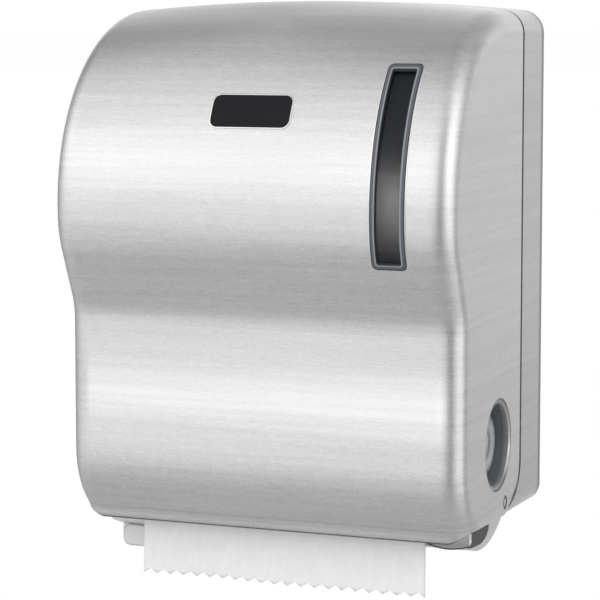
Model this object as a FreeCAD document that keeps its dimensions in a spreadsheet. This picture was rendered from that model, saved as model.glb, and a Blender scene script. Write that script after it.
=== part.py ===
import FreeCAD, Part
import Sketcher
import math
import os

# Autocut towel dispenser, millimetres. The origin is the middle of the four wall screw holes, on the
# wall plane. +X is to the viewer's right, +Z is up, and the front of the dispenser looks along -Y.

doc = FreeCAD.newDocument("towel_dispenser")
sheet = doc.addObject("Spreadsheet::Sheet", "sizes")
V = FreeCAD.Vector
AXIS_TURNS = {
    "x": FreeCAD.Rotation(V(0, 1, 0), 90),
    "y": FreeCAD.Rotation(V(1, 0, 0), -90),
    "z": FreeCAD.Rotation(),
}


class Size:
    """A length in numbers together with the expression that gives it from the sheet."""

    def __init__(self, number, text):
        self.number = number
        self.text = text

    def _join(self, other, sign, number, swap=False):
        other = of(other)
        left, right = (other, self) if swap else (self, other)
        return Size(number(left.number, right.number), f"({left.text} {sign} {right.text})")

    def __add__(self, other):
        return self._join(other, "+", lambda a, b: a + b)

    def __radd__(self, other):
        return self._join(other, "+", lambda a, b: a + b, True)

    def __sub__(self, other):
        return self._join(other, "-", lambda a, b: a - b)

    def __rsub__(self, other):
        return self._join(other, "-", lambda a, b: a - b, True)

    def __mul__(self, other):
        return self._join(other, "*", lambda a, b: a * b)

    def __rmul__(self, other):
        return self._join(other, "*", lambda a, b: a * b, True)

    def __truediv__(self, other):
        return self._join(other, "/", lambda a, b: a / b)

    def __neg__(self):
        return Size(-self.number, f"(-1 * {self.text})")


def of(value):
    return value if isinstance(value, Size) else Size(float(value), repr(float(value)))


def sine(angle):
    angle = of(angle)
    return Size(math.sin(math.radians(angle.number)), f"sin({angle.text})")


def cosine(angle):
    angle = of(angle)
    return Size(math.cos(math.radians(angle.number)), f"cos({angle.text})")


def root(value):
    value = of(value)
    return Size(math.sqrt(value.number), f"sqrt({value.text})")


def arc_sine(value):
    value = of(value)
    return Size(math.degrees(math.asin(value.number)), f"(asin({value.text}) / 1 deg)")


rows_used = 0


def size(alias, number, note):
    """Writes a driving dimension in the sheet and gives it back as a Size."""
    global rows_used
    rows_used += 1
    sheet.set(f"A{rows_used}", alias)
    sheet.set(f"B{rows_used}", str(number))
    sheet.setAlias(f"B{rows_used}", alias)
    sheet.set(f"C{rows_used}", note)
    return Size(float(number), f"sizes.{alias}")


def bind(thing, prop, value):
    """Sets a property to a size and keeps the expression that gives it."""
    value = of(value)
    thing.setExpression(prop, value.text)


def place(thing, x=0, y=0, z=0, rotation=None):
    thing.Placement = FreeCAD.Placement(V(of(x).number, of(y).number, of(z).number), rotation or AXIS_TURNS["z"])
    for letter, value in (("x", x), ("y", y), ("z", z)):
        bind(thing, f"Placement.Base.{letter}", value)


# Outside form
cover_width = size("cover_width", 290, "width of the cover and of the rear housing")
top_height = size("top_height", 135, "top of the casing above the wall screw centre")
top_drop = size("top_drop", 8, "how much lower the arched top is at its sides")
sheet_wall = size("sheet_wall", 1.2, "stainless sheet")
edge_radius = size("edge_radius", 17, "rounding between the front, the top and the sides")
bulge_radius = size("bulge_radius", 142, "radius of the bulging front in the middle")
bulge_reach = size("bulge_reach", 230, "foremost point of the bulge from the wall")
bulge_tail = size("bulge_tail", 10, "how far the bulge goes on below its foremost point")
shoulder_radius = size("shoulder_radius", 70, "rounding from the bulge into the slope")
slope_angle = size("slope_angle", 25, "slope between bulge and waist, from upright")
waist_radius = size("waist_radius", 35, "hollow rounding at the waist")
waist_reach = size("waist_reach", 204.5, "lower front from the wall")
lip_turn_depth = size("lip_turn_depth", 315, "where the lower front starts to curve back, below the top")
lip_depth = size("lip_depth", 360.4, "lower lip below the top")
lip_turn_radius = size("lip_turn_radius", 65, "radius of the lower front towards the lip")
lip_roll = size("lip_roll", 3.5, "rolled edge round the bottom of the cover")
lip_flange = size("lip_flange", 5.5, "width of the flange under the rolled edge")
seam_reach = size("seam_reach", 56, "middle of the seam between cover and housing, from the wall")
seam_gap = size("seam_gap", 4, "seam between cover and housing")
seam_turn = size("seam_turn", 24, "rounding of the cover's lower rear corner")
seam_slope = size("seam_slope", 28, "slope of the seam under the hinge, from level")
heel_reach = size("heel_reach", 97, "where the seam meets the bottom edge, from the wall")
heel_depth = size("heel_depth", 365, "that place below the top")
housing_depth = size("housing_depth", 372, "lower rear corner of the housing below the top")
housing_corner = size("housing_corner", 14, "rounding of the lower corners of the housing")

half_width = cover_width / 2
lip_fall = lip_depth - lip_turn_depth
lip_middle = waist_reach - lip_turn_radius
lip_reach = lip_middle + root(lip_turn_radius * lip_turn_radius - lip_fall * lip_fall)
cover_rear = seam_reach + seam_gap / 2
housing_front = seam_reach - seam_gap / 2


def level(depth):
    """Height of a place that lies this far below the top of the casing."""
    return top_height - depth


def plane_of(body, role):
    return next(feature for feature in body.Origin.OriginFeatures if feature.Role == role)


def new_body(label):
    body = doc.addObject("PartDesign::Body", label)
    body.Label = label
    return body


def new_sketch(body, name, role, offset=0):
    """A sketch on one of the body's own origin planes, moved along the plane's normal by offset."""
    sketch = body.newObject("Sketcher::SketchObject", name)
    sketch.AttachmentSupport = [(plane_of(body, role), "")]
    sketch.MapMode = "FlatFace"
    bind(sketch, "AttachmentOffset.Base.z", offset)
    return sketch


def fix(sketch, kind, geometry, end, value):
    """Holds a point of the sketch at a distance from its origin."""
    value = of(value)
    number = sketch.addConstraint(Sketcher.Constraint(kind, -1, 1, geometry, end, value.number))
    sketch.setExpression(f"Constraints[{number}]", value.text)


def fix_radius(sketch, geometry, value):
    value = of(value)
    number = sketch.addConstraint(Sketcher.Constraint("Radius", geometry, value.number))
    sketch.setExpression(f"Constraints[{number}]", value.text)


def draw_outline(sketch, corners, arcs=None):
    """Draws a closed outline. An arc is keyed by the corner it starts from: (radius, 1 left or -1 right)."""
    arcs = arcs or {}
    corners = [(of(across), of(up)) for across, up in corners]
    places = [V(across.number, up.number, 0) for across, up in corners]
    ends = []
    for step, start in enumerate(places):
        finish = places[(step + 1) % len(places)]
        if step not in arcs:
            ends.append((sketch.addGeometry(Part.LineSegment(start, finish)), 1, 2))
            continue
        radius, turn = arcs[step]
        radius = of(radius)
        chord = finish - start
        side = V(-chord.y, chord.x, 0).normalize() * turn
        centre = (start + finish) * 0.5 + side * math.sqrt(radius.number ** 2 - chord.Length ** 2 / 4)
        ring = Part.Circle(centre, V(0, 0, 1), radius.number)
        low, high = (start, finish) if turn > 0 else (finish, start)
        turns = [math.atan2(spot.y - centre.y, spot.x - centre.x) for spot in (low, high)]
        index = sketch.addGeometry(Part.ArcOfCircle(ring, turns[0], turns[1]))
        ends.append((index, 1, 2) if turn > 0 else (index, 2, 1))
        fix_radius(sketch, index, radius)
    for step, (index, first, last) in enumerate(ends):
        following = ends[(step + 1) % len(ends)]
        sketch.addConstraint(Sketcher.Constraint("Coincident", index, last, following[0], following[1]))
        fix(sketch, "DistanceX", index, first, corners[step][0])
        fix(sketch, "DistanceY", index, first, corners[step][1])


def draw_circle(sketch, across, up, radius):
    across, up, radius = of(across), of(up), of(radius)
    middle = V(across.number, up.number, 0)
    index = sketch.addGeometry(Part.Circle(middle, V(0, 0, 1), radius.number))
    fix(sketch, "DistanceX", index, 3, across)
    fix(sketch, "DistanceY", index, 3, up)
    fix_radius(sketch, index, radius)


def rounded_box(across_low, up_low, across_high, up_high, radius):
    """Corners and arcs of a rectangle with rounded corners."""
    a, b, c, d = of(across_low), of(up_low), of(across_high), of(up_high)
    r = of(radius)
    corners = [(a + r, b), (c - r, b), (c, b + r), (c, d - r), (c - r, d), (a + r, d), (a, d - r), (a, b + r)]
    return corners, {1: (r, 1), 3: (r, 1), 5: (r, 1), 7: (r, 1)}


def pad(body, sketch, length, both=False, back=False):
    feature = body.newObject("PartDesign::Pad", f"{sketch.Name}_pad")
    feature.Profile = sketch
    feature.SideType = "Symmetric" if both else "One side"
    feature.Reversed = back
    bind(feature, "Length", length)
    return feature


def pocket(body, sketch, length, both=False, back=False):
    feature = body.newObject("PartDesign::Pocket", f"{sketch.Name}_pocket")
    feature.Profile = sketch
    feature.SideType = "Symmetric" if both else "One side"
    feature.Reversed = back
    bind(feature, "Length", length)
    return feature


def edges_where(shape, test):
    """Names of the edges of a shape whose middle point and direction pass the test."""
    names = []
    for number, edge in enumerate(shape.Edges, 1):
        span = (edge.FirstParameter + edge.LastParameter) / 2
        if test(edge, edge.valueAt(span)):
            names.append(f"Edge{number}")
    return names


def fillet(body, radius, test):
    """Rounds the edges of the body's last feature that pass the test."""
    doc.recompute()
    base = body.Tip
    feature = body.newObject("PartDesign::Fillet", f"{base.Name}_round")
    feature.Base = (base, edges_where(base.Shape, test))
    bind(feature, "Radius", radius)
    return feature


def front_outline(drop, grow=0):
    """Side outline of the cover, front at negative Y, from the top of the seam forwards and down.

    drop lowers the arched top, and grow moves the outside out, or in where it is negative.
    """
    drop, grow = of(drop), of(grow)
    radius = bulge_radius - drop
    middle = bulge_reach - radius
    turned = arc_sine(bulge_tail / radius)
    outer = radius + grow
    shoulder = shoulder_radius + grow
    hollow_arc = waist_radius - grow
    bulge_end = (-(middle + outer * cosine(turned)), level(bulge_radius) - outer * sine(turned))
    slope_start = (
        bulge_end[0] + shoulder * (cosine(turned) - cosine(slope_angle)),
        bulge_end[1] - shoulder * (sine(slope_angle) - sine(turned)),
    )
    front = -(waist_reach + grow)
    lip_turn = lip_turn_radius + grow
    lip_drop = lip_fall + grow
    slope_end = front - hollow_arc * (1 - cosine(slope_angle))
    slope_fall = (slope_end - slope_start[0]) / (sine(slope_angle) / cosine(slope_angle))
    waist_top = slope_start[1] - slope_fall
    waist_end = waist_top - hollow_arc * sine(slope_angle)
    corners = [
        (-cover_rear, level(drop) + grow),
        (-middle, level(drop) + grow),
        bulge_end,
        slope_start,
        (slope_end, waist_top),
        (front, waist_end),
        (front, level(lip_turn_depth)),
        (-(lip_middle + root(lip_turn * lip_turn - lip_drop * lip_drop)), level(lip_depth) - grow),
    ]
    arcs = {
        1: (outer, 1),
        2: (shoulder, 1),
        4: (hollow_arc, -1),
        6: (lip_turn, 1),
    }
    return corners, arcs


def seam_corners(offset, drop):
    """The sloping, rounded and upright stretches of the seam, moved towards the wall by offset."""
    slope_rise = sine(seam_slope) / cosine(seam_slope)
    turn_radius = seam_turn + offset
    upright = -(cover_rear - offset)
    turn_reach = cover_rear + seam_turn - turn_radius * sine(seam_slope)
    turn_base = cover_rear + seam_turn - seam_turn * sine(seam_slope)
    turn_middle = level(heel_depth) + (heel_reach - turn_base) * slope_rise + seam_turn * cosine(seam_slope)
    turn_level = turn_middle - turn_radius * cosine(seam_slope)
    heel = heel_reach - offset * sine(seam_slope)
    heel_level = turn_level - (heel - turn_reach) * slope_rise
    return [(-heel, heel_level), (-turn_reach, turn_level), (upright, turn_middle)], turn_radius


def cover_outline(drop, grow):
    """The outline of the cover, closed along its bottom edge, the sloping seam and the upright seam."""
    corners, arcs = front_outline(drop, grow)
    seam, turn_radius = seam_corners(0, drop)
    arcs[9] = (turn_radius, 1)
    return corners + seam, arcs


def cover_room_outline(drop, grow):
    """The outline of the room inside the cover, open through the seam."""
    corners, arcs = front_outline(drop, grow)
    bottom_rise = (lip_depth - heel_depth) / (heel_reach - lip_reach)
    open_reach = housing_front - seam_gap
    bottom = level(heel_depth) - grow - (heel_reach - open_reach) * bottom_rise
    corners[0] = (-open_reach, corners[0][1])
    return corners + [(-open_reach, bottom)], arcs


def arched_form(label, outline, grow, radius, rounded, lip_radius=None, at_lip=None):
    """A solid with the outline, lofted across the casing: the top is lower at both sides, and the edges
    that pass the test rounded are rounded with radius, then those that pass at_lip with lip_radius."""
    body = new_body(label)
    grow = of(grow)
    side = half_width + grow
    sections = []
    for where, across, drop in (("left", -side, top_drop), ("middle", 0, 0), ("right", side, top_drop)):
        sketch = new_sketch(body, f"{label}_{where}", "YZ_Plane", across)
        draw_outline(sketch, *outline(drop, grow))
        sections.append(sketch)
    skin = doc.addObject("Part::Loft", f"{label}_loft")
    skin.Sections = sections
    skin.Solid = True
    skin.Ruled = False
    doc.recompute()
    formed = new_body(f"{label}_rounded")
    formed.BaseFeature = skin
    fillet(formed, radius, rounded)
    if lip_radius is not None:
        fillet(formed, lip_radius, at_lip)
    doc.recompute()
    return formed


def in_side_plane(edge):
    """True for an edge that lies wholly in a side plane of the casing."""
    box = edge.optimalBoundingBox(False)
    return box.XLength < 0.01 and abs(abs(box.Center.x) - half_width.number) < 3 * sheet_wall.number


def cover_front_edge(edge, spot):
    """The front edges of the side planes, from the seam over the top and down to the lip."""
    under = spot.z < level(lip_turn_depth).number and spot.y > -lip_reach.number
    at_seam = edge.optimalBoundingBox(False).YMax > -cover_rear.number - 1 and edge.optimalBoundingBox(False).YLength < 1
    return in_side_plane(edge) and not under and not at_seam


def cover_lip_edge(edge, spot):
    """The edges round the bottom of the cover, without those of the seam."""
    box = edge.optimalBoundingBox(False)
    low = box.ZMax < level(lip_depth).number + 4
    across = box.XLength > cover_width.number * 0.8
    return low and (box.YMax < -heel_reach.number + 0.5 or not across) and not (across and box.YMin > -lip_reach.number + 5)


subparts = {}


def keep(label, thing):
    """Names a finished sub-part and lists it for export."""
    thing.Label = label
    subparts[label] = thing
    return thing


def round_bar(name, radius, start, finish, reach, depth):
    """A round bar along X. reach is its distance from the wall and depth its place below the top."""
    bar = doc.addObject("Part::Cylinder", name)
    bind(bar, "Radius", radius)
    bind(bar, "Height", of(finish) - start)
    place(bar, start, -of(reach), level(depth), AXIS_TURNS["x"])
    return bar


def bar_along_y(name, radius, across, near, far, height):
    """A round bar square to the wall, from the distance near to the distance far off it."""
    bar = doc.addObject("Part::Cylinder", name)
    bind(bar, "Radius", radius)
    bind(bar, "Height", of(far) - near)
    place(bar, across, -of(far), height, AXIS_TURNS["y"])
    return bar


def block(name, x_low, x_high, near, far, low, high):
    """A box between two X values, two distances from the wall and two heights."""
    thing = doc.addObject("Part::Box", name)
    bind(thing, "Length", of(x_high) - x_low)
    bind(thing, "Width", of(far) - near)
    bind(thing, "Height", of(high) - low)
    place(thing, x_low, -of(far), low)
    return thing


def fused(name, things):
    whole = doc.addObject("Part::MultiFuse", name)
    whole.Shapes = things
    whole.Refine = True
    return whole


def cut_away(name, base, tools):
    tool = tools[0] if len(tools) == 1 else fused(f"{name}_tools", tools)
    rest = doc.addObject("Part::Cut", name)
    rest.Base = base
    rest.Tool = tool
    return rest


def common(name, base, tool):
    shared = doc.addObject("Part::Common", name)
    shared.Base = base
    shared.Tool = tool
    return shared


def group(label, things):
    """Several like pieces that share one node as separate solids."""
    whole = doc.addObject("Part::Compound", label)
    whole.Links = things
    return keep(label, whole)


def side_plate(label, offset, thickness, corners, arcs=None, holes=()):
    """A plate square to X, from offset towards +X, with round holes (reach, depth, radius)."""
    body = new_body(label)
    face = new_sketch(body, f"{label}_face", "YZ_Plane", offset)
    draw_outline(face, corners, arcs)
    for reach, depth, radius in holes:
        draw_circle(face, -of(reach), level(depth), radius)
    pad(body, face, thickness)
    return body


# The front cover
port_reach = size("port_reach", 114, "drum axis and side port from the wall")
port_depth = size("port_depth", 310, "drum axis and side port below the top")
port_radius = size("port_radius", 28.5, "clear radius of the side port")
port_roll = size("port_roll", 4.5, "inward rounding of the side port")
hinge_reach = size("hinge_reach", 95, "cover hinge axis from the wall")
hinge_depth = size("hinge_depth", 354.5, "cover hinge axis below the top")
hinge_bush_radius = size("hinge_bush_radius", 5, "outside of the hinge bush")
window_centre = size("window_centre", 101, "middle of the level window, right of the middle plane")
window_width = size("window_width", 24, "outside of the window frame")
window_top_depth = size("window_top_depth", 43, "top of the window frame below the top")
window_bottom_depth = size("window_bottom_depth", 177.5, "bottom of the window frame below the top")
window_corner = size("window_corner", 3.5, "corner rounding of the window frame")
window_border = size("window_border", 4.2, "face of the window frame")
window_proud = size("window_proud", 0.9, "how far the window frame stands proud of the sheet")
window_depth = size("window_depth", 2.6, "how far the window frame reaches inwards")
window_inner_corner = size("window_inner_corner", 1, "corner rounding inside the window frame")
pane_wall = size("pane_wall", 1.6, "window pane")
pane_overlap = size("pane_overlap", 3, "how far the pane laps the frame")
fit_gap = size("fit_gap", 0.2, "clearance round pieces that are set in openings")

lock_reach = size("lock_reach", 72, "lock from the wall")
barrel_radius = size("barrel_radius", 8, "lock barrel")

cover_form = arched_form("cover_form", cover_outline, 0, edge_radius, cover_front_edge, lip_roll, cover_lip_edge)
cover_room = arched_form(
    "cover_room",
    cover_room_outline,
    -sheet_wall,
    edge_radius - sheet_wall,
    cover_front_edge,
    lip_roll - sheet_wall,
    cover_lip_edge,
)
cover_skin = cut_away("cover_skin", cover_form, [cover_room])
doc.recompute()
front_cover = new_body("front_cover")
front_cover.BaseFeature = cover_skin

window_left = window_centre - window_width / 2
window_right = window_centre + window_width / 2


def window_box(grow, corner=window_corner):
    """The outline of the level window, seen from the front, moved outwards by grow."""
    grow = of(grow)
    return rounded_box(
        window_left - grow,
        level(window_bottom_depth) - grow,
        window_right + grow,
        level(window_top_depth) + grow,
        corner,
    )


behind_front = waist_reach * 0.7
window_cut = new_sketch(front_cover, "window_cut", "XZ_Plane", behind_front)
draw_outline(window_cut, *window_box(fit_gap))
pocket(front_cover, window_cut, behind_front, back=True)

port_outer = port_radius + port_roll
port_cut = new_sketch(front_cover, "port_cut", "YZ_Plane", half_width - edge_radius)
draw_circle(port_cut, -port_reach, level(port_depth), port_outer)
pocket(front_cover, port_cut, edge_radius + sheet_wall, back=True)

port_rim = new_sketch(front_cover, "port_rim", "XZ_Plane", port_reach)
rim_floor = half_width - port_roll
draw_outline(
    port_rim,
    [
        (half_width, level(port_depth) + port_outer),
        (rim_floor, level(port_depth) + port_radius),
        (rim_floor, level(port_depth) + port_radius + sheet_wall),
        (half_width - sheet_wall, level(port_depth) + port_outer),
    ],
    {0: (port_roll, 1), 2: (port_roll - sheet_wall, -1)},
)
rim_axis = port_rim.addGeometry(Part.LineSegment(V(0, level(port_depth).number, 0), V(10, level(port_depth).number, 0)), True)
port_rim.addConstraint(Sketcher.Constraint("Horizontal", rim_axis))
fix(port_rim, "DistanceX", rim_axis, 1, 0)
fix(port_rim, "DistanceY", rim_axis, 1, level(port_depth))
fix(port_rim, "DistanceX", rim_axis, 2, 10)
rolled_rim = front_cover.newObject("PartDesign::Revolution", "rolled_rim")
rolled_rim.Profile = port_rim
rolled_rim.ReferenceAxis = (port_rim, ["Axis0"])
rolled_rim.Angle = 360

pin_cut = new_sketch(front_cover, "pin_cut", "YZ_Plane", 0)
draw_circle(pin_cut, -hinge_reach, level(hinge_depth), hinge_bush_radius)
pocket(front_cover, pin_cut, cover_width * 1.1, both=True)

bottom_cut = new_sketch(front_cover, "bottom_cut", "XY_Plane", level(heel_depth) - lip_flange)
draw_outline(
    bottom_cut,
    [
        (lip_flange - half_width, lip_flange - lip_reach),
        (half_width - lip_flange, lip_flange - lip_reach),
        (half_width - lip_flange, -housing_front),
        (lip_flange - half_width, -housing_front),
    ],
)
pocket(front_cover, bottom_cut, lip_flange * 3, back=True)

lock_cut = new_sketch(front_cover, "lock_cut", "XY_Plane", level(top_drop * 2))
draw_circle(lock_cut, 0, -lock_reach, barrel_radius)
pocket(front_cover, lock_cut, top_drop * 3, back=True)
keep("front_cover", front_cover)

# The level window
frame_prism = new_body("frame_prism")
frame_face = new_sketch(frame_prism, "frame_face", "XZ_Plane", behind_front)
draw_outline(frame_face, *window_box(0))
draw_outline(frame_face, *window_box(-window_border, window_inner_corner))
pad(frame_prism, frame_face, behind_front)
pane_prism = new_body("pane_prism")
pane_face = new_sketch(pane_prism, "pane_face", "XZ_Plane", behind_front)
draw_outline(pane_face, *window_box(pane_overlap - window_border))
pad(pane_prism, pane_face, behind_front)


def front_band_outline(drop, grow):
    """The front's outline moved by grow and closed straight behind it."""
    corners, arcs = front_outline(drop, grow)
    corners[0] = (-cover_rear, corners[0][1])
    return corners + [(-cover_rear, corners[-1][1])], arcs


def front_body(name, grow):
    """A solid that ends at the front's surface moved by grow."""
    carrier = new_body(f"{name}_sections")
    sections = []
    for where, across, drop in (("left", -half_width, top_drop), ("middle", 0, 0), ("right", half_width, top_drop)):
        sketch = new_sketch(carrier, f"{name}_{where}", "YZ_Plane", across)
        draw_outline(sketch, *front_band_outline(drop, grow))
        sections.append(sketch)
    skin = doc.addObject("Part::Loft", name)
    skin.Sections = sections
    skin.Solid = True
    skin.Ruled = False
    return skin


proud_front = front_body("proud_front", window_proud)
frame_back = front_body("frame_back", -window_depth)
pane_back = front_body("pane_back", -window_depth - pane_wall)
frame_band = cut_away("frame_band", proud_front, [frame_back])
keep("window_frame", common("window_frame", frame_band, frame_prism))
pane_band = cut_away("pane_band", frame_back, [pane_back])
keep("window_pane", common("window_pane", pane_band, pane_prism))


# The rear housing
mount_across = size("mount_across", 180, "distance between the wall screws from side to side")
mount_up = size("mount_up", 180, "distance between the wall screws up and down")
mount_hole = size("mount_hole", 6.5, "wall screw hole")
rim_wall = size("rim_wall", 1.6, "dark rim inside the seam")
rim_gap = size("rim_gap", 0.3, "clearance round the rim")
rim_near = size("rim_near", 44, "rear edge of the rim from the wall")
rim_far = size("rim_far", 62.5, "front edge of the rim from the wall")
rim_end_depth = size("rim_end_depth", 326, "lower ends of the rim below the top")
back_spare = size("back_spare", 2, "how far the housing's form runs past the wall plane before it is cut flat")
screw_radius = size("screw_radius", 2, "shank of the housing screws")
screw_head = size("screw_head", 3.6, "head radius of the housing screws")
screw_head_height = size("screw_head_height", 2.4, "head height of the housing screws")
housing_rise = (housing_depth - heel_depth) / heel_reach


def housing_outline(drop, grow):
    """The outline of the housing: level top, upright seam, its turn and slope, then the bottom. It runs
    a little past the wall plane, where a plane cuts it off."""
    seam, turn_radius = seam_corners(seam_gap, drop)
    heel, turned, upright = seam
    corners = [
        (back_spare, level(drop)),
        (-housing_front, level(drop)),
        upright,
        turned,
        heel,
        (back_spare, level(housing_depth) - back_spare * housing_rise),
    ]
    return corners, {2: (turn_radius, -1)}


def housing_room_outline(drop, grow):
    """The room inside the housing, open through the seam and running past the wall plane."""
    grow = of(grow)
    reach = heel_reach + seam_gap
    corners = [
        (back_spare, level(drop) + grow),
        (-reach, level(drop) + grow),
        (-reach, level(housing_depth) - grow + reach * housing_rise),
        (back_spare, level(housing_depth) - grow - back_spare * housing_rise),
    ]
    return corners, {}


def in_front_of_wall(name, form, near):
    """The part of a form of the housing that lies at least near from the wall plane."""
    front_space = block(f"{name}_space", -half_width, half_width, near, bulge_reach, level(cover_width * 2), top_height)
    return common(name, form, front_space)


def long_edge(edge, low, high):
    """True for an edge in a side plane that runs to the front between two heights."""
    box = edge.optimalBoundingBox(False)
    return in_side_plane(edge) and box.YLength > housing_front.number * 0.8 and low < box.Center.z < high


def housing_top_edge(edge, spot):
    return long_edge(edge, level(seam_gap * 10).number, level(-seam_gap).number)


def housing_bottom_edge(edge, spot):
    return spot.z < level(heel_depth).number and long_edge(edge, level(housing_depth * 1.1).number, level(heel_depth).number)


housing_form = arched_form(
    "housing_form",
    housing_outline,
    0,
    edge_radius,
    housing_top_edge,
    housing_corner,
    housing_bottom_edge,
)
housing_room = arched_form(
    "housing_room",
    housing_room_outline,
    -sheet_wall,
    edge_radius - sheet_wall,
    housing_top_edge,
    housing_corner - sheet_wall,
    housing_bottom_edge,
)
housing_outside = in_front_of_wall("housing_outside", housing_form, 0)
housing_inside = in_front_of_wall("housing_inside", housing_room, sheet_wall)
housing_skin = cut_away("housing_skin", housing_outside, [housing_inside])
rear_housing = new_body("rear_housing")
rear_housing.BaseFeature = housing_skin

# Mechanism sizes
plate_offset = size("plate_offset", 113, "inner face of the side plates from the middle")
plate_wall = size("plate_wall", 3, "side plates")
plate_front = size("plate_front", 196, "front edge of the side plates from the wall")
plate_top_depth = size("plate_top_depth", 246, "top of the side plates below the top")
plate_bottom_depth = size("plate_bottom_depth", 362, "bottom of the side plates below the top")
foot_width = size("foot_width", 12, "feet of the side plates")
foot_wall = size("foot_wall", 3, "thickness of the feet")
foot_screw_high = size("foot_screw_high", 268, "upper foot screw below the top")
foot_screw_low = size("foot_screw_low", 336, "lower foot screw below the top")
arm_depth = size("arm_depth", 122, "roll axis below the top")
bracket_half = size("bracket_half", 12, "half the width of an arm bracket")
bracket_screw = size("bracket_screw", 9, "arm bracket screws from its middle")
arm_offset = size("arm_offset", 114, "inner face of the roll arms from the middle")
arm_wall = size("arm_wall", 4, "roll arms")
arm_middle = arm_offset + arm_wall / 2
foot_screw_across = plate_offset + plate_wall + foot_width / 2


def mechanism_screw_places():
    """Across, depth and the plate thickness under the head of every screw in the housing's back."""
    spots = []
    for side in (-1, 1):
        spots.append((foot_screw_across * side, foot_screw_high, foot_wall))
        spots.append((foot_screw_across * side, foot_screw_low, foot_wall))
        spots.append(((arm_middle - bracket_screw) * side, arm_depth, bracket_wall))
        spots.append(((arm_middle + bracket_screw) * side, arm_depth, bracket_wall))
    return spots


bracket_wall = size("bracket_wall", 2, "back plate of the arm brackets")
wall_cut = new_sketch(rear_housing, "wall_cut", "XZ_Plane")
for across in (-mount_across / 2, mount_across / 2):
    for up in (-mount_up / 2, mount_up / 2):
        draw_circle(wall_cut, across, up, mount_hole / 2)
for across, depth, under in mechanism_screw_places():
    draw_circle(wall_cut, across, level(depth), screw_radius)
pocket(rear_housing, wall_cut, sheet_wall * 2, back=True)
keep("rear_housing", rear_housing)

screws = []
for number, (across, depth, under) in enumerate(mechanism_screw_places()):
    shank = bar_along_y(f"screw_shank_{number}", screw_radius, across, 0, sheet_wall + under, level(depth))
    top = sheet_wall + under
    head = bar_along_y(f"screw_head_{number}", screw_head, across, top, top + screw_head_height, level(depth))
    screws.append(fused(f"screw_{number}", [shank, head]))
group("mechanism_screws", screws)


def arch_band(label, grow, near, far, floor):
    """A solid of the casing's section between two distances from the wall, without rounding below."""
    def outline(drop, inset):
        inset = of(inset)
        top = level(drop) + inset
        return [(-near, top), (-far, top), (-far, level(floor)), (-near, level(floor))], {}

    return arched_form(label, outline, grow, edge_radius + grow, housing_top_edge_of(label))


def housing_top_edge_of(label):
    def test(edge, spot):
        box = edge.optimalBoundingBox(False)
        return in_side_plane(edge) and box.ZLength < 0.1 and spot.z > 0 and box.YLength > 1
    return test


rim_outer = arch_band("rim_outer", -(sheet_wall + rim_gap), rim_near, rim_far, rim_end_depth)
rim_inner = arch_band(
    "rim_inner",
    -(sheet_wall + rim_gap + rim_wall),
    rim_near - rim_wall,
    rim_far + rim_wall,
    rim_end_depth + rim_wall,
)
keep("seam_rim", cut_away("seam_rim", rim_outer, [rim_inner]))

# Hinge of the cover
ear_near = size("ear_near", 30, "rear end of the hinge ears from the wall")
ear_offset = size("ear_offset", 140.8, "inner face of the hinge ears from the middle")
ear_outer = size("ear_outer", 143, "outer face of the hinge ears from the middle")
ear_radius = size("ear_radius", 8, "round end of the hinge ears")
ear_rise = size("ear_rise", 14, "upper edge of the hinge ears above the pin, at their rear")
ear_fall = size("ear_fall", 3, "lower edge of the hinge ears below the pin")
ear_step = size("ear_step", 12, "where the lower edge leaves the round end, behind the pin")
pin_radius = size("pin_radius", 3, "hinge pins")
pin_inner = size("pin_inner", 137, "inner end of the hinge pins from the middle")
pin_outer = size("pin_outer", 144.8, "outer end of the hinge pins from the middle")
pin_head = size("pin_head", 5, "head radius of the hinge pins")
running_fit = size("running_fit", 0.06, "clearance of a shaft in its bush")
pin_level = level(hinge_depth)
ears = []
pins = []
bushes = []
for side, word in ((-1, "left"), (1, "right")):
    ear = side_plate(
        f"{word}_hinge_ear",
        ear_offset if side > 0 else -ear_outer,
        ear_outer - ear_offset,
        [
            (-hinge_reach, pin_level + ear_radius),
            (-hinge_reach - ear_radius, pin_level),
            (-hinge_reach, pin_level - ear_radius),
            (ear_step - hinge_reach, pin_level - ear_fall),
            (-ear_near, pin_level - ear_fall),
            (-ear_near, pin_level + ear_rise),
        ],
        {0: (ear_radius, 1), 1: (ear_radius, 1)},
        [(hinge_reach, hinge_depth, pin_radius)],
    )
    ears.append(ear)
    low, high = (pin_inner, pin_outer) if side > 0 else (-pin_outer, -pin_inner)
    head_low, head_high = (pin_inner, ear_offset) if side > 0 else (-ear_offset, -pin_inner)
    pin = round_bar(f"{word}_pin", pin_radius, low, high, hinge_reach, hinge_depth)
    head = round_bar(f"{word}_pin_head", pin_head, head_low, head_high, hinge_reach, hinge_depth)
    pins.append(fused(f"{word}_hinge_pin", [pin, head]))
    low, high = (half_width - sheet_wall, half_width) if side > 0 else (-half_width, sheet_wall - half_width)
    ring = round_bar(f"{word}_bush_ring", hinge_bush_radius, low, high, hinge_reach, hinge_depth)
    bore = round_bar(f"{word}_bush_bore", pin_radius + running_fit, low, high, hinge_reach, hinge_depth)
    bushes.append(cut_away(f"{word}_hinge_bush", ring, [bore]))
group("hinge_ears", ears)
group("hinge_pins", pins)
group("hinge_bushes", bushes)

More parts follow.
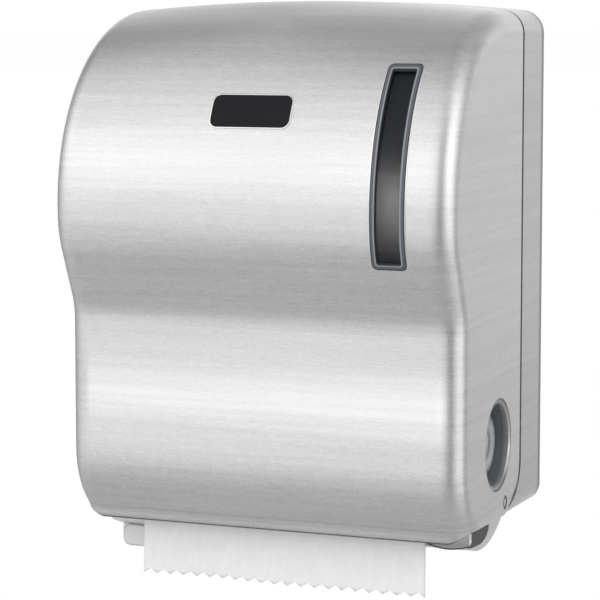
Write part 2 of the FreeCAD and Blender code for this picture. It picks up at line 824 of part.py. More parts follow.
# Drum
drum_radius = size("drum_radius", 43.5, "outside of the drum shells")
drum_wall = size("drum_wall", 3, "wall of the drum shells")
drum_half = size("drum_half", 108, "outer face of the drum's ends from the middle")
grip_radius = size("grip_radius", 45, "outside of the rubber grip rings")
grip_width = size("grip_width", 16, "width of a grip ring")
grip_count = 5
shaft_radius = size("shaft_radius", 5, "drum shaft")
shaft_left = size("shaft_left", 125, "left end of the drum shaft from the middle")
shaft_right = size("shaft_right", 136, "right end of the drum shaft from the middle")
knife_back = size("knife_back", 30, "knife pivot behind the drum axis")
knife_below = size("knife_below", 18, "knife pivot below the drum axis")
knife_angle = size("knife_angle", 59.5, "direction of the knife from its pivot, up from level")
knife_length = size("knife_length", 25.2, "knife tip from its pivot")
knife_pin = size("knife_pin", 2.5, "pivot pins of the knife carrier")
slot_low = size("slot_low", 17.5, "lower edge of the knife slot below the drum axis")
slot_high = size("slot_high", 7.5, "upper edge of the knife slot above the drum axis")
slot_half = size("slot_half", 103.5, "half length of the knife slot")
axis_level = level(port_depth)
knife_reach = port_reach - knife_back
knife_depth = port_depth + knife_below


def turned_body(label, points, reach, depth, angle=360, back=False):
    """A body turned about a line along X. points are (across, radius) of its section."""
    body = new_body(label)
    section = new_sketch(body, f"{label}_section", "XZ_Plane", reach)
    centre = level(depth)
    draw_outline(section, [(across, centre + radius) for across, radius in points])
    line = Part.LineSegment(V(0, centre.number, 0), V(10, centre.number, 0))
    axis = section.addGeometry(line, True)
    section.addConstraint(Sketcher.Constraint("Horizontal", axis))
    fix(section, "DistanceX", axis, 1, 0)
    fix(section, "DistanceY", axis, 1, centre)
    fix(section, "DistanceX", axis, 2, 10)
    turned = body.newObject("PartDesign::Revolution", f"{label}_turned")
    turned.Profile = section
    turned.ReferenceAxis = (section, ["Axis0"])
    turned.Angle = angle
    turned.Reversed = back
    return body


shell_section = [
    (-drum_half, shaft_radius),
    (-drum_half, drum_radius),
    (drum_half, drum_radius),
    (drum_half, shaft_radius),
    (drum_half - drum_wall, shaft_radius),
    (drum_half - drum_wall, drum_radius - drum_wall),
    (drum_wall - drum_half, drum_radius - drum_wall),
    (drum_wall - drum_half, shaft_radius),
]
keep("drum_front_half", turned_body("drum_front_half", shell_section, port_reach, port_depth, 180))
rear_shell = turned_body("rear_shell", shell_section, port_reach, port_depth, 180, back=True)
knife_slot = block(
    "knife_slot",
    -slot_half,
    slot_half,
    port_reach - grip_radius * 1.1,
    knife_reach,
    axis_level - slot_low,
    axis_level + slot_high,
)
follower_notch = block(
    "follower_notch",
    slot_half - 1,
    drum_half + 1,
    port_reach - grip_radius * 1.1,
    knife_reach - 1.5,
    axis_level - slot_low - 1.5,
    axis_level + 1.5,
)
knife_bore = round_bar(
    "knife_bore",
    knife_pin + running_fit,
    -drum_half,
    drum_half,
    knife_reach,
    knife_depth,
)
keep("drum_rear_half", cut_away("drum_rear_half", rear_shell, [knife_slot, follower_notch, knife_bore]))
keep("drum_shaft", round_bar("drum_shaft", shaft_radius, -shaft_left, shaft_right, port_reach, port_depth))

rings = []
ring_step = (drum_half * 2 - grip_width) / (grip_count - 1)
for number in range(grip_count):
    low = ring_step * number - drum_half
    outside = round_bar(f"ring_outside_{number}", grip_radius, low, low + grip_width, port_reach, port_depth)
    inside = round_bar(f"ring_inside_{number}", drum_radius, low, low + grip_width, port_reach, port_depth)
    rings.append(cut_away(f"grip_ring_{number}", outside, [inside, knife_slot, follower_notch]))
group("grip_rings", rings)

# Knife
carrier_wall = size("carrier_wall", 3, "web of the knife carrier")
carrier_boss = size("carrier_boss", 4.5, "round back of the knife carrier")
carrier_half = size("carrier_half", 102.5, "half length of the knife carrier")
carrier_length = size("carrier_length", 19.5, "web of the knife carrier from its pivot")
blade_wall = size("blade_wall", 0.8, "knife blade")
blade_half = size("blade_half", 99, "half the length of the blade")
blade_start = size("blade_start", 11, "rear edge of the blade from the pivot")
tooth_count = 21
tooth_fall = size("tooth_fall", 3, "depth of the teeth")
web_half = size("web_half", 106.5, "half the width of the towel")
follower_radius = size("follower_radius", 4, "cam follower roller")
follower_arm = size("follower_arm", 16, "cam follower from the knife pivot")
follower_pin = size("follower_pin", 2, "pin of the cam follower")
track_wall = size("track_wall", 3.7, "depth of the cam track")
side_gap = size("side_gap", 0.3, "clearance between a turning part and the plate beside it")


def along_knife(distance, across):
    """Corner of the side view at a distance from the knife pivot along the knife and square to it."""
    distance, across = of(distance), of(across)
    return (
        distance * cosine(knife_angle) - across * sine(knife_angle) - knife_reach,
        distance * sine(knife_angle) + across * cosine(knife_angle) - knife_depth + top_height,
    )


carrier_web = new_body("carrier_web")
web_face = new_sketch(carrier_web, "web_face", "YZ_Plane")
draw_outline(
    web_face,
    [
        along_knife(0, -carrier_wall / 2),
        along_knife(carrier_length, -carrier_wall / 2),
        along_knife(carrier_length, carrier_wall / 2),
        along_knife(0, carrier_wall / 2),
    ],
)
pad(carrier_web, web_face, carrier_half * 2, both=True)
carrier_back = round_bar("carrier_back", carrier_boss, -carrier_half, carrier_half, knife_reach, knife_depth)
pin_end = drum_half - side_gap
carrier_pins = round_bar("carrier_pins", knife_pin, -pin_end, pin_end, knife_reach, knife_depth)
follower_stub = new_body("follower_stub")
stub_face = new_sketch(follower_stub, "stub_face", "YZ_Plane", carrier_half - carrier_wall)
draw_circle(stub_face, *along_knife(follower_arm, 0), follower_pin)
pad(follower_stub, stub_face, plate_offset - side_gap - carrier_half + carrier_wall)
keep("knife_carrier", fused("knife_carrier", [carrier_web, carrier_back, carrier_pins, follower_stub]))

cam_follower = new_body("cam_follower")
roller_face = new_sketch(cam_follower, "roller_face", "YZ_Plane", drum_half + side_gap * 2)
draw_circle(roller_face, *along_knife(follower_arm, 0), follower_radius)
draw_circle(roller_face, *along_knife(follower_arm, 0), follower_pin)
pad(cam_follower, roller_face, plate_offset - side_gap * 2 - drum_half - side_gap)
keep("cam_follower", cam_follower)

knife_blade = new_body("knife_blade")
blade_face = new_sketch(knife_blade, "blade_face", "XY_Plane")
tooth_pitch = blade_half * 2 / tooth_count
blade_corners = [(blade_half, blade_start), (-blade_half, blade_start)]
for number in range(tooth_count):
    start = tooth_pitch * number - blade_half
    blade_corners.append((start, knife_length - tooth_fall))
    blade_corners.append((start + tooth_pitch / 2, knife_length))
blade_corners.append((blade_half, knife_length - tooth_fall))
draw_outline(blade_face, blade_corners)
pad(knife_blade, blade_face, blade_wall)
knife_blade.Placement = FreeCAD.Placement(
    V(
        0,
        (-knife_reach - sine(knife_angle) * carrier_wall / 2).number,
        (level(knife_depth) + cosine(knife_angle) * carrier_wall / 2).number,
    ),
    FreeCAD.Rotation(V(1, 0, 0), knife_angle.number),
)
keep("knife_blade", knife_blade)

# Side plates
yoke_reach = size("yoke_reach", 184, "pivot of the pinch yoke from the wall")
yoke_depth = size("yoke_depth", 322, "pivot of the pinch yoke below the top")
yoke_shaft_radius = size("yoke_shaft_radius", 4, "pivot shaft of the pinch yoke")
web_wall = size("web_wall", 0.4, "thickness of the towel")
web_gap = size("web_gap", 0.3, "clearance between towel and rollers")
pinch_radius = size("pinch_radius", 9, "pinch roller")
pinch_shaft_radius = size("pinch_shaft_radius", 3, "pinch roller shaft")
pinch_angle = size("pinch_angle", 40, "direction of the pinch roller from the drum, up from the front")
pinch_slot = size("pinch_slot", 7, "opening for the pinch roller shaft")
pinch_lift = size("pinch_lift", 2.9, "middle of that opening in front of the shaft")
bush_radius = size("bush_radius", 8, "drum bushes")
pinch_distance = grip_radius + web_gap + web_wall + web_gap + pinch_radius
pinch_reach = port_reach + pinch_distance * cosine(pinch_angle)
pinch_depth = port_depth - pinch_distance * sine(pinch_angle)
plate_step_depth = size("plate_step_depth", 292, "where the front edge of the side plates starts")
plate_heel_depth = size("plate_heel_depth", 350, "rear end of the side plates' lower edge below the top")
plate_shoulder = size("plate_shoulder", 150, "front end of the side plates' top edge from the wall")
plate_chin = size("plate_chin", 150, "front end of the side plates' lower edge from the wall")
plate_corner = size("plate_corner", 8, "corner rounding of the side plates")


def mechanism_plate(word, side):
    """A side plate with its foot on the housing's back."""
    body = side_plate(
        f"{word}_plate",
        plate_offset if side > 0 else -plate_offset - plate_wall,
        plate_wall,
        [
            (-sheet_wall, level(plate_heel_depth)),
            (-sheet_wall, level(plate_top_depth)),
            (-plate_shoulder, level(plate_top_depth)),
            (-plate_front, level(plate_step_depth)),
            (-plate_front, level(plate_heel_depth) + plate_corner * 1.5),
            (-plate_chin, level(plate_bottom_depth)),
        ],
        None,
        [
            (port_reach, port_depth, bush_radius),
            (yoke_reach, yoke_depth, yoke_shaft_radius + running_fit),
            (pinch_reach + pinch_lift, pinch_depth - pinch_lift / 2, pinch_slot),
        ],
    )
    front = -(plate_shoulder.number - 1)

    def free_corner(edge, spot):
        straight = edge.Curve.TypeId == "Part::GeomLine" and abs(edge.tangentAt(edge.FirstParameter).x) > 0.99
        return straight and spot.y < front

    fillet(body, plate_corner, free_corner)
    foot_body = new_body(f"{word}_plate_foot")
    foot = new_sketch(foot_body, f"{word}_foot", "XZ_Plane", sheet_wall)
    low, high = plate_offset + plate_wall / 2, plate_offset + plate_wall + foot_width
    if side < 0:
        low, high = -high, -low
    foot_low = level(plate_heel_depth) + plate_corner / 2
    draw_outline(foot, *rounded_box(low, foot_low, high, level(plate_top_depth) - plate_corner, 1))
    for depth in (foot_screw_high, foot_screw_low):
        draw_circle(foot, foot_screw_across * side, level(depth), screw_radius)
    pad(foot_body, foot, foot_wall)
    return fused(f"{word}_side_plate", [body, foot_body])


keep("left_side_plate", mechanism_plate("left", -1))
keep("right_side_plate", mechanism_plate("right", 1))

bush_flange = size("bush_flange", 10, "flange of the drum bushes")
bush_flange_wall = size("bush_flange_wall", 1.5, "thickness of that flange")
bush_ends = []
for side, word in ((-1, "left"), (1, "right")):
    inner, outer = plate_offset - bush_flange_wall, plate_offset + plate_wall
    flange_end = plate_offset
    if side < 0:
        body_low, body_high, flange_low, flange_high = -outer, -inner, -flange_end, -inner
    else:
        body_low, body_high, flange_low, flange_high = inner, outer, inner, flange_end
    barrel = round_bar(f"{word}_bush_barrel", bush_radius, body_low, body_high, port_reach, port_depth)
    flange = round_bar(f"{word}_bush_flange", bush_flange, flange_low, flange_high, port_reach, port_depth)
    whole = fused(f"{word}_bush_whole", [barrel, flange])
    bore = round_bar(
        f"{word}_drum_bore",
        shaft_radius + running_fit,
        body_low,
        body_high,
        port_reach,
        port_depth,
    )
    bush_ends.append(cut_away(f"{word}_drum_bush", whole, [bore]))
group("drum_bushes", bush_ends)

track_inner = size("track_inner", 42.6, "inner radius of the cam track where it holds the knife in")
track_outer = size("track_outer", 51.3, "outside of the cam track")
track_open = size("track_open", 49.4, "inner radius of the cam track where it lets the knife out")
cut_start = size("cut_start", 62, "where the track opens for the cut, from level at the rear")
cut_end = size("cut_end", 142, "where it closes after the cut")
park_start = size("park_start", -27, "where it opens for the parked knife")
park_end = size("park_end", 8, "where it closes after the parked knife")


def track_spot(radius, angle):
    return (radius * cosine(angle) - port_reach, axis_level + radius * sine(angle))


cam_track = new_body("cam_track")
track_face = new_sketch(cam_track, "track_face", "YZ_Plane", plate_offset - track_wall)
draw_circle(track_face, -port_reach, axis_level, track_outer)
holding = (cut_end + park_start + 360) / 2
letting = (cut_start + cut_end) / 2
draw_outline(
    track_face,
    [
        track_spot(track_inner, park_end),
        track_spot(track_inner, cut_start),
        track_spot(track_open, cut_start + 6),
        track_spot(track_open, cut_end - 6),
        track_spot(track_inner, cut_end),
        track_spot(track_inner, holding),
        track_spot(track_inner, park_start + 360),
        track_spot(track_open, park_start + 366),
        track_spot(track_open, park_end - 6),
    ],
    {
        0: (track_inner, 1),
        2: (track_open, 1),
        4: (track_inner, 1),
        5: (track_inner, 1),
        7: (track_open, 1),
    },
)
pad(cam_track, track_face, track_wall)
keep("cam_track", cam_track)

clutch_radius = size("clutch_radius", 10, "one-way clutch bearing")
clutch_wall = size("clutch_wall", 3.6, "width of the clutch bearing")
clutch_far = plate_offset + plate_wall + clutch_wall
clutch_ring = round_bar("clutch_ring", clutch_radius, -clutch_far, clutch_wall - clutch_far, port_reach, port_depth)
clutch_bore = round_bar(
    "clutch_bore",
    shaft_radius + running_fit,
    -clutch_far,
    clutch_wall - clutch_far,
    port_reach,
    port_depth,
)
keep("clutch_bearing", cut_away("clutch_bearing", clutch_ring, [clutch_bore]))

# Crank and its spring
crank_wall = size("crank_wall", 3.5, "crank arm")
crank_length = size("crank_length", 22, "crank pin from the drum axis")
crank_half = size("crank_half", 8, "half the width of the crank arm")
crank_pin_radius = size("crank_pin_radius", 2.5, "crank pin")
crank_pin_far = size("crank_pin_far", 132, "left end of the crank pin from the middle")
spring_radius = size("spring_radius", 4, "outside of the crank spring")
spring_wire = size("spring_wire", 1.2, "wire of the crank spring")
post_depth = size("post_depth", 254, "spring post below the top")
crank_inner = clutch_far + side_gap
crank_outer = crank_inner + crank_wall
crank_depth = port_depth - crank_length
crank_body = side_plate(
    "crank_body",
    -crank_outer,
    crank_wall,
    [
        (-port_reach - crank_half, axis_level),
        (-port_reach, axis_level - crank_half),
        (-port_reach + crank_half, axis_level),
        (-port_reach + crank_half * 0.6, axis_level + crank_length),
        (-port_reach, axis_level + crank_length + crank_half * 0.6),
        (-port_reach - crank_half * 0.6, axis_level + crank_length),
    ],
    {0: (crank_half, 1), 1: (crank_half, 1), 3: (crank_half * 0.6, 1), 4: (crank_half * 0.6, 1)},
    [(port_reach, port_depth, shaft_radius)],
)
crank_pin = round_bar("crank_pin", crank_pin_radius, -crank_pin_far, -crank_inner, port_reach, crank_depth)
keep("crank_arm", fused("crank_arm", [crank_body, crank_pin]))
post = round_bar("post", crank_pin_radius, -crank_pin_far, -plate_offset - plate_wall, port_reach, post_depth)
keep("spring_post", post)


def plain_spring(name, across, reach, low_depth, high_depth, radius, wire):
    """The outer shape of an upright coil spring between two heights."""
    outside = doc.addObject("Part::Cylinder", f"{name}_outside")
    inside = doc.addObject("Part::Cylinder", f"{name}_inside")
    for thing, wide in ((outside, radius), (inside, of(radius) - wire)):
        bind(thing, "Radius", wide)
        bind(thing, "Height", of(low_depth) - high_depth)
        place(thing, across, -of(reach), level(low_depth))
    return cut_away(name, outside, [inside])


spring_across = crank_pin_far - spring_radius
keep(
    "crank_spring",
    plain_spring(
        "crank_spring",
        -spring_across,
        port_reach,
        crank_depth - crank_pin_radius - side_gap,
        post_depth + crank_pin_radius + side_gap,
        spring_radius,
        spring_wire,
    ),
)

# Hand wheel and its guard
wheel_radius = size("wheel_radius", 26, "hand wheel")
wheel_inner = size("wheel_inner", 127, "inner side of the hand wheel from the middle")
wheel_outer = size("wheel_outer", 137, "outer side of the hand wheel from the middle")
guard_radius = size("guard_radius", 27.2, "inside of the wheel guard")
guard_wall = size("guard_wall", 1.5, "wall of the wheel guard")
guard_flange = size("guard_flange", 31, "flange of the wheel guard")
guard_outer = size("guard_outer", 139.3, "outer side of the wheel guard from the middle")
guard_inner = size("guard_inner", 124.5, "back of the wheel guard from the middle")
guard_bore = size("guard_bore", 7, "opening for the shaft in the guard")
guard_boss = size("guard_boss", 4, "bosses of the wheel guard")
guard_boss_ring = size("guard_boss_ring", 20, "circle of the bosses")
wheel_section = [
    (wheel_inner, shaft_radius),
    (wheel_inner, shaft_radius + 4),
    (wheel_inner + 3, shaft_radius + 4.5),
    (wheel_inner + 3, wheel_radius - 4),
    (wheel_inner + 0.5, wheel_radius - 2.5),
    (wheel_inner + 0.5, wheel_radius - 0.7),
    (wheel_inner + 1.2, wheel_radius),
    (wheel_outer - 1.2, wheel_radius),
    (wheel_outer, wheel_radius - 1.2),
    (wheel_outer, wheel_radius - 2.5),
    (wheel_outer - 1.6, wheel_radius - 4.6),
    (wheel_outer - 3.6, wheel_radius - 7),
    (wheel_outer - 4.4, wheel_radius - 11),
    (wheel_outer - 4, wheel_radius - 15),
    (wheel_outer - 1.5, shaft_radius + 3.6),
    (wheel_outer - 0.8, shaft_radius + 2.6),
    (wheel_outer - 0.8, shaft_radius),
]
keep("hand_wheel", turned_body("hand_wheel", wheel_section, port_reach, port_depth))
guard_section = [
    (guard_inner, guard_bore),
    (guard_inner, guard_radius + guard_wall),
    (guard_outer - guard_wall, guard_radius + guard_wall),
    (guard_outer - guard_wall, guard_flange),
    (guard_outer, guard_flange),
    (guard_outer, guard_radius),
    (guard_inner + guard_wall, guard_radius),
    (guard_inner + guard_wall, guard_bore),
]
guard_cup = turned_body("guard_cup", guard_section, port_reach, port_depth)
bosses = []
for number in range(3):
    turn = 30 + 120 * number
    bosses.append(
        round_bar(
            f"guard_boss_{number}",
            guard_boss,
            plate_offset + plate_wall,
            guard_inner,
            port_reach - guard_boss_ring * cosine(turn),
            port_depth - guard_boss_ring * sine(turn),
        )
    )
keep("wheel_guard", fused("wheel_guard", [guard_cup, *bosses]))

# Pinch roller and its yoke
yoke_offset = size("yoke_offset", 118, "inner face of the yoke arms from the middle")
yoke_wall = size("yoke_wall", 3, "yoke arms")
tab_depth = size("tab_depth", 381, "top of the release tab below the top")
tab_end_depth = size("tab_end_depth", 397, "lower edge of the release tab below the top")
tab_reach = size("tab_reach", 150, "back of the release tab from the wall")
tab_wall = size("tab_wall", 3, "release tab")
tab_left = size("tab_left", 137, "left end of the release tab from the middle")
tab_right = size("tab_right", 100, "right end of the release tab from the middle")
tab_corner = size("tab_corner", 6, "rounded lower corners of the release tab")
hook_reach = size("hook_reach", 150, "pinch springs from the wall")
hook_depth = size("hook_depth", 269, "upper hooks of the pinch springs below the top")
hook_end_depth = size("hook_end_depth", 299, "lower hooks of the pinch springs below the top")
hook_radius = size("hook_radius", 1.5, "pins that hold the pinch springs")
hook_far = size("hook_far", 128, "outer ends of those pins from the middle")
pinch_spring_radius = size("pinch_spring_radius", 3, "outside of the pinch springs")
pinch_spring_wire = size("pinch_spring_wire", 0.9, "wire of the pinch springs")
sleeve_half = size("sleeve_half", 106, "half the length of the pinch roller's sleeve")
yoke_far = yoke_offset + yoke_wall
yoke_edge = size("yoke_edge", 8, "edge of the yoke arms round their holes")

upper_corners = [
    (-yoke_reach - yoke_edge, level(yoke_depth) + yoke_edge),
    (-pinch_reach - yoke_edge, level(pinch_depth) + yoke_edge + 2),
    (-hook_reach + 4, level(hook_depth) + 4),
    (-hook_reach + 4, level(pinch_depth) - 2),
    (-yoke_reach + yoke_edge + 2, level(yoke_depth) + 2),
]
lower_corners = [
    (-tab_reach, level(tab_depth) + 2),
    (-tab_reach, level(tab_depth) - 4),
    (-tab_reach - tab_wall, level(tab_depth) - 4),
    (-tab_reach - tab_wall - 4, level(tab_depth) + 2),
]
foot_corners = [
    (-yoke_reach + yoke_edge, level(yoke_depth) - yoke_edge * 0.7),
    (-yoke_reach, level(yoke_depth) - yoke_edge * 1.1),
]
end_corner = [(-yoke_reach - yoke_edge, level(yoke_depth) - yoke_edge * 0.6)]


def yoke_arm(word, side):
    """A yoke arm. The left one goes on down to the release tab."""
    low = yoke_offset if side > 0 else -yoke_far
    corners = upper_corners + (foot_corners if side > 0 else lower_corners) + end_corner
    arm = side_plate(
        f"{word}_arm_plate",
        low,
        yoke_wall,
        corners,
        None,
        [(yoke_reach, yoke_depth, yoke_shaft_radius), (pinch_reach, pinch_depth, pinch_shaft_radius + running_fit)],
    )
    if side < 0:
        tab = new_sketch(arm, "release_tab", "XZ_Plane", tab_reach)
        r = tab_corner
        a, b, c, d = -tab_left, level(tab_end_depth), -tab_right, level(tab_depth)
        tab_corners = [(a, d), (a, b + r), (a + r, b), (c - r / 2, b), (c, b + r / 2), (c, d)]
        draw_outline(tab, tab_corners, {1: (r, 1), 3: (r / 2, 1)})
        pad(arm, tab, tab_wall)
    hook_low, hook_high = (yoke_offset, hook_far) if side > 0 else (-hook_far, -yoke_offset)
    hook = round_bar(f"{word}_arm_hook", hook_radius, hook_low, hook_high, hook_reach, hook_depth)
    return fused(f"{word}_yoke_arm", [arm, hook])


keep("left_yoke_arm", yoke_arm("left", -1))
keep("right_yoke_arm", yoke_arm("right", 1))
keep("yoke_shaft", round_bar("yoke_shaft", yoke_shaft_radius, -yoke_far, yoke_far, yoke_reach, yoke_depth))
keep("pinch_shaft", round_bar("pinch_shaft", pinch_shaft_radius, -yoke_far, yoke_far, pinch_reach, pinch_depth))
sleeve_outside = round_bar("sleeve_outside", pinch_radius, -sleeve_half, sleeve_half, pinch_reach, pinch_depth)
sleeve_inside = round_bar("sleeve_inside", pinch_shaft_radius, -sleeve_half, sleeve_half, pinch_reach, pinch_depth)
keep("pinch_sleeve", cut_away("pinch_sleeve", sleeve_outside, [sleeve_inside]))

hooks = []
springs = []
hook_across = hook_far - pinch_spring_radius - 0.5
for side, word in ((-1, "left"), (1, "right")):
    low, high = plate_offset + plate_wall, hook_far
    if side < 0:
        low, high = -high, -low
    hooks.append(round_bar(f"{word}_plate_hook", hook_radius, low, high, hook_reach, hook_end_depth))
    springs.append(
        plain_spring(
            f"{word}_pinch_spring",
            hook_across * side,
            hook_reach,
            hook_end_depth - hook_radius - side_gap,
            hook_depth + hook_radius + side_gap,
            pinch_spring_radius,
            pinch_spring_wire,
        )
    )
group("spring_hooks", hooks)
group("pinch_springs", springs)

# Towel guides
guide_gap = size("guide_gap", 0.2, "clearance between a guide and the side plates")
rear_guide_radius = size("rear_guide_radius", 54, "inside of the rear guide")
rear_guide_wall = size("rear_guide_wall", 2, "rear guide")
rear_guide_low = size("rear_guide_low", -78, "lower end of the rear guide, from level at the rear")
rear_guide_high = size("rear_guide_high", 38, "upper end of the rear guide")
guide_half = plate_offset - guide_gap
rear_guide = new_body("rear_guide")
rear_face = new_sketch(rear_guide, "rear_face", "YZ_Plane")
outer_guide = rear_guide_radius + rear_guide_wall
draw_outline(
    rear_face,
    [
        track_spot(rear_guide_radius, rear_guide_low),
        track_spot(outer_guide, rear_guide_low),
        track_spot(outer_guide, rear_guide_high),
        track_spot(rear_guide_radius, rear_guide_high),
    ],
    {1: (outer_guide, 1), 3: (rear_guide_radius, -1)},
)
pad(rear_guide, rear_face, guide_half * 2, both=True)
keep("rear_guide", rear_guide)

front_guide_reach = size("front_guide_reach", 166, "back of the front guide from the wall")
front_guide_wall = size("front_guide_wall", 2, "front guide")
front_guide_top = size("front_guide_top", 292, "top of the front guide below the top")
front_guide_end = size("front_guide_end", 346, "lower edge of the front guide below the top")
front_guide_lip = size("front_guide_lip", 6, "top edge of the front guide leant forwards")
front_guide = new_body("front_guide")
front_face = new_sketch(front_guide, "front_face", "YZ_Plane")
draw_outline(
    front_face,
    [
        (-front_guide_reach, level(front_guide_end)),
        (-front_guide_reach, level(front_guide_top) - front_guide_lip),
        (-front_guide_reach - front_guide_lip, level(front_guide_top)),
        (-front_guide_reach - front_guide_lip - front_guide_wall, level(front_guide_top)),
        (-front_guide_reach - front_guide_wall, level(front_guide_top) - front_guide_lip - 1),
        (-front_guide_reach - front_guide_wall, level(front_guide_end)),
    ],
)
pad(front_guide, front_face, guide_half * 2, both=True)
keep("front_guide", front_guide)

# Chin guide
chin_half = size("chin_half", 134, "half the width of the chin guide")
chin_rear = size("chin_rear", 66, "rear edge of the chin guide from the wall")
chin_rear_depth = size("chin_rear_depth", 372, "rear edge of the chin guide below the top")
chin_front = size("chin_front", 150, "front of the chin guide from the wall")
chin_front_depth = size("chin_front_depth", 377.5, "front edge of the chin guide below the top")
chin_radius = size("chin_radius", 92, "curve of the chin guide's floor")
chin_wall = size("chin_wall", 2, "chin guide")
chin_top_depth = size("chin_top_depth", 364, "top of the cheeks below the top")
cheek_wall = size("cheek_wall", 3, "cheeks of the chin guide")
cheek_front = size("cheek_front", 26, "hollow front of the right cheek")
cheek_hollow = size("cheek_hollow", 18, "how far back the top of that hollow lies")
ear_wall = size("ear_wall", 2.5, "lugs of the chin guide on the side plates")
chin_ear_near = size("chin_ear_near", 98, "rear of those lugs from the wall")
chin_ear_far = size("chin_ear_far", 132, "front of those lugs from the wall")
chin_ear_top = size("chin_ear_top", 346, "top of those lugs below the top")
lip_side = size("lip_side", 104, "inner ends of the chin guide's front lips from the middle")
lip_root = size("lip_root", 90, "inner end of the left lip, behind the towel")
lip_rise = size("lip_rise", 10, "height of the front lips")
lip_bow = size("lip_bow", 48, "curve of the front lips' lower edge")
lip_slot_low = size("lip_slot_low", 115.5, "slot for the release arm in the left lip, inner side")
lip_slot_high = size("lip_slot_high", 123.5, "slot for the release arm in the left lip, outer side")
chin_floor = new_body("chin_floor")
floor_face = new_sketch(chin_floor, "floor_face", "YZ_Plane")
floor_front = chin_front - chin_wall
floor_corners = [
    (-floor_front, level(chin_front_depth)),
    (-chin_rear, level(chin_rear_depth)),
    (-chin_rear, level(chin_rear_depth) + chin_wall),
    (-floor_front, level(chin_front_depth) + chin_wall),
]
draw_outline(floor_face, floor_corners, {0: (chin_radius, 1), 2: (chin_radius, -1)})
pad(chin_floor, floor_face, chin_half * 2, both=True)
cheeks = []
chin_ears = []
lips = []
for side, word in ((-1, "left"), (1, "right")):
    cheek_low = chin_half - cheek_wall if side > 0 else -chin_half
    cheek_corners = [
        (-floor_front, level(chin_front_depth)),
        (-chin_rear, level(chin_rear_depth)),
        (-chin_rear, level(chin_rear_depth) + chin_wall),
        (-chin_ear_near, level(chin_rear_depth) + chin_wall),
        (-chin_ear_near, level(chin_top_depth)),
    ]
    cheek_arcs = {0: (chin_radius, 1)}
    if side > 0:
        cheek_corners.append((cheek_hollow - floor_front, level(chin_top_depth)))
        cheek_arcs[5] = (cheek_front, -1)
    else:
        cheek_corners.append((-floor_front, level(chin_top_depth)))
    cheeks.append(side_plate(f"{word}_cheek", cheek_low, cheek_wall, cheek_corners, cheek_arcs))
    low, high = plate_offset + plate_wall, plate_offset + plate_wall + ear_wall
    lip_low, lip_high = lip_side, chin_half
    if side < 0:
        lip_low = lip_root
        low, high, lip_low, lip_high = -high, -low, -lip_high, -lip_low
    chin_ears.append(
        block(
            f"{word}_chin_ear",
            low,
            high,
            chin_ear_near,
            chin_ear_far,
            level(chin_rear_depth) - chin_wall * 4,
            level(chin_ear_top),
        )
    )
    lip = new_body(f"{word}_lip")
    lip_face = new_sketch(lip, f"{word}_lip_face", "XZ_Plane", floor_front)
    lip_level = level(chin_front_depth) + chin_wall
    draw_outline(
        lip_face,
        [
            (lip_low, lip_level),
            (lip_high, lip_level),
            (lip_high, level(chin_front_depth) + lip_rise),
            (lip_low, level(chin_front_depth) + lip_rise),
        ],
        {0: (lip_bow, 1)},
    )
    pad(lip, lip_face, chin_wall)
    if side < 0:
        lip_slot = block(
            "lip_slot",
            -lip_slot_high,
            -lip_slot_low,
            floor_front - chin_wall,
            chin_front + chin_wall,
            level(tab_depth),
            level(chin_top_depth),
        )
        lip = cut_away("slotted_lip", lip, [lip_slot])
    lips.append(lip)
chin_whole = fused("chin_whole", [chin_floor, *cheeks, *chin_ears, *lips])
tab_swing = size("tab_swing", 16, "room behind the release tab")
tab_room = block(
    "tab_room",
    -chin_half - 1,
    -tab_right + 1.5,
    tab_reach - tab_swing,
    chin_front + 1,
    level(chin_front_depth) - chin_radius / 2,
    level(tab_depth) + 6.5,
)
keep("chin_guide", cut_away("chin_guide", chin_whole, [tab_room]))

# Towel roll, its core and the arms that carry it
roll_reach = size("roll_reach", 120, "roll axis from the wall")
roll_radius = size("roll_radius", 88, "full towel roll")
core_radius = size("core_radius", 21, "outside of the board core")
core_bore = size("core_bore", 19.5, "inside of the board core")
roll_outside = round_bar("roll_outside", roll_radius, -web_half, web_half, roll_reach, arm_depth)
roll_inside = round_bar("roll_inside", core_radius, -web_half, web_half, roll_reach, arm_depth)
keep("towel_roll", cut_away("towel_roll", roll_outside, [roll_inside]))
core_outside = round_bar("core_outside", core_radius, -web_half, web_half, roll_reach, arm_depth)
core_inside = round_bar("core_inside", core_bore, -web_half, web_half, roll_reach, arm_depth)
keep("roll_core", cut_away("roll_core", core_outside, [core_inside]))

arm_pin_reach = size("arm_pin_reach", 8, "arm hinge pins from the wall")
arm_pin_radius = size("arm_pin_radius", 2.5, "arm hinge pins")
knuckle_radius = size("knuckle_radius", 4.5, "knuckles of the arms")
arm_base = size("arm_base", 18, "half the height of the arms at their base")
arm_tip = size("arm_tip", 16, "round end of the arms")
axle_radius = size("axle_radius", 5, "stub axles of the arms")
hub_radius = size("hub_radius", 19.2, "core hubs")
hub_tip_radius = size("hub_tip_radius", 14, "tip of the core hubs")
hub_straight = size("hub_straight", 105, "where the hubs start to taper, from the middle")
hub_tip = size("hub_tip", 94, "tips of the hubs from the middle")
hub_wall = size("hub_wall", 3, "end wall of the hubs")
lug_wall = size("lug_wall", 5, "lugs of the arm brackets")
lug_reach = size("lug_reach", 13, "front of those lugs from the wall")
lug_half = size("lug_half", 6, "half the width of those lugs")
arm_low = level(arm_depth) - arm_base
arm_high = level(arm_depth) + arm_base


def upright_bar(name, radius, across, reach, low, high):
    bar = doc.addObject("Part::Cylinder", name)
    bind(bar, "Radius", radius)
    bind(bar, "Height", of(high) - low)
    place(bar, across, -of(reach), low)
    return bar


def both_ways(side, low, high):
    """A span on the right of the middle, or its mirror image on the left."""
    return (of(low), of(high)) if side > 0 else (-of(high), -of(low))


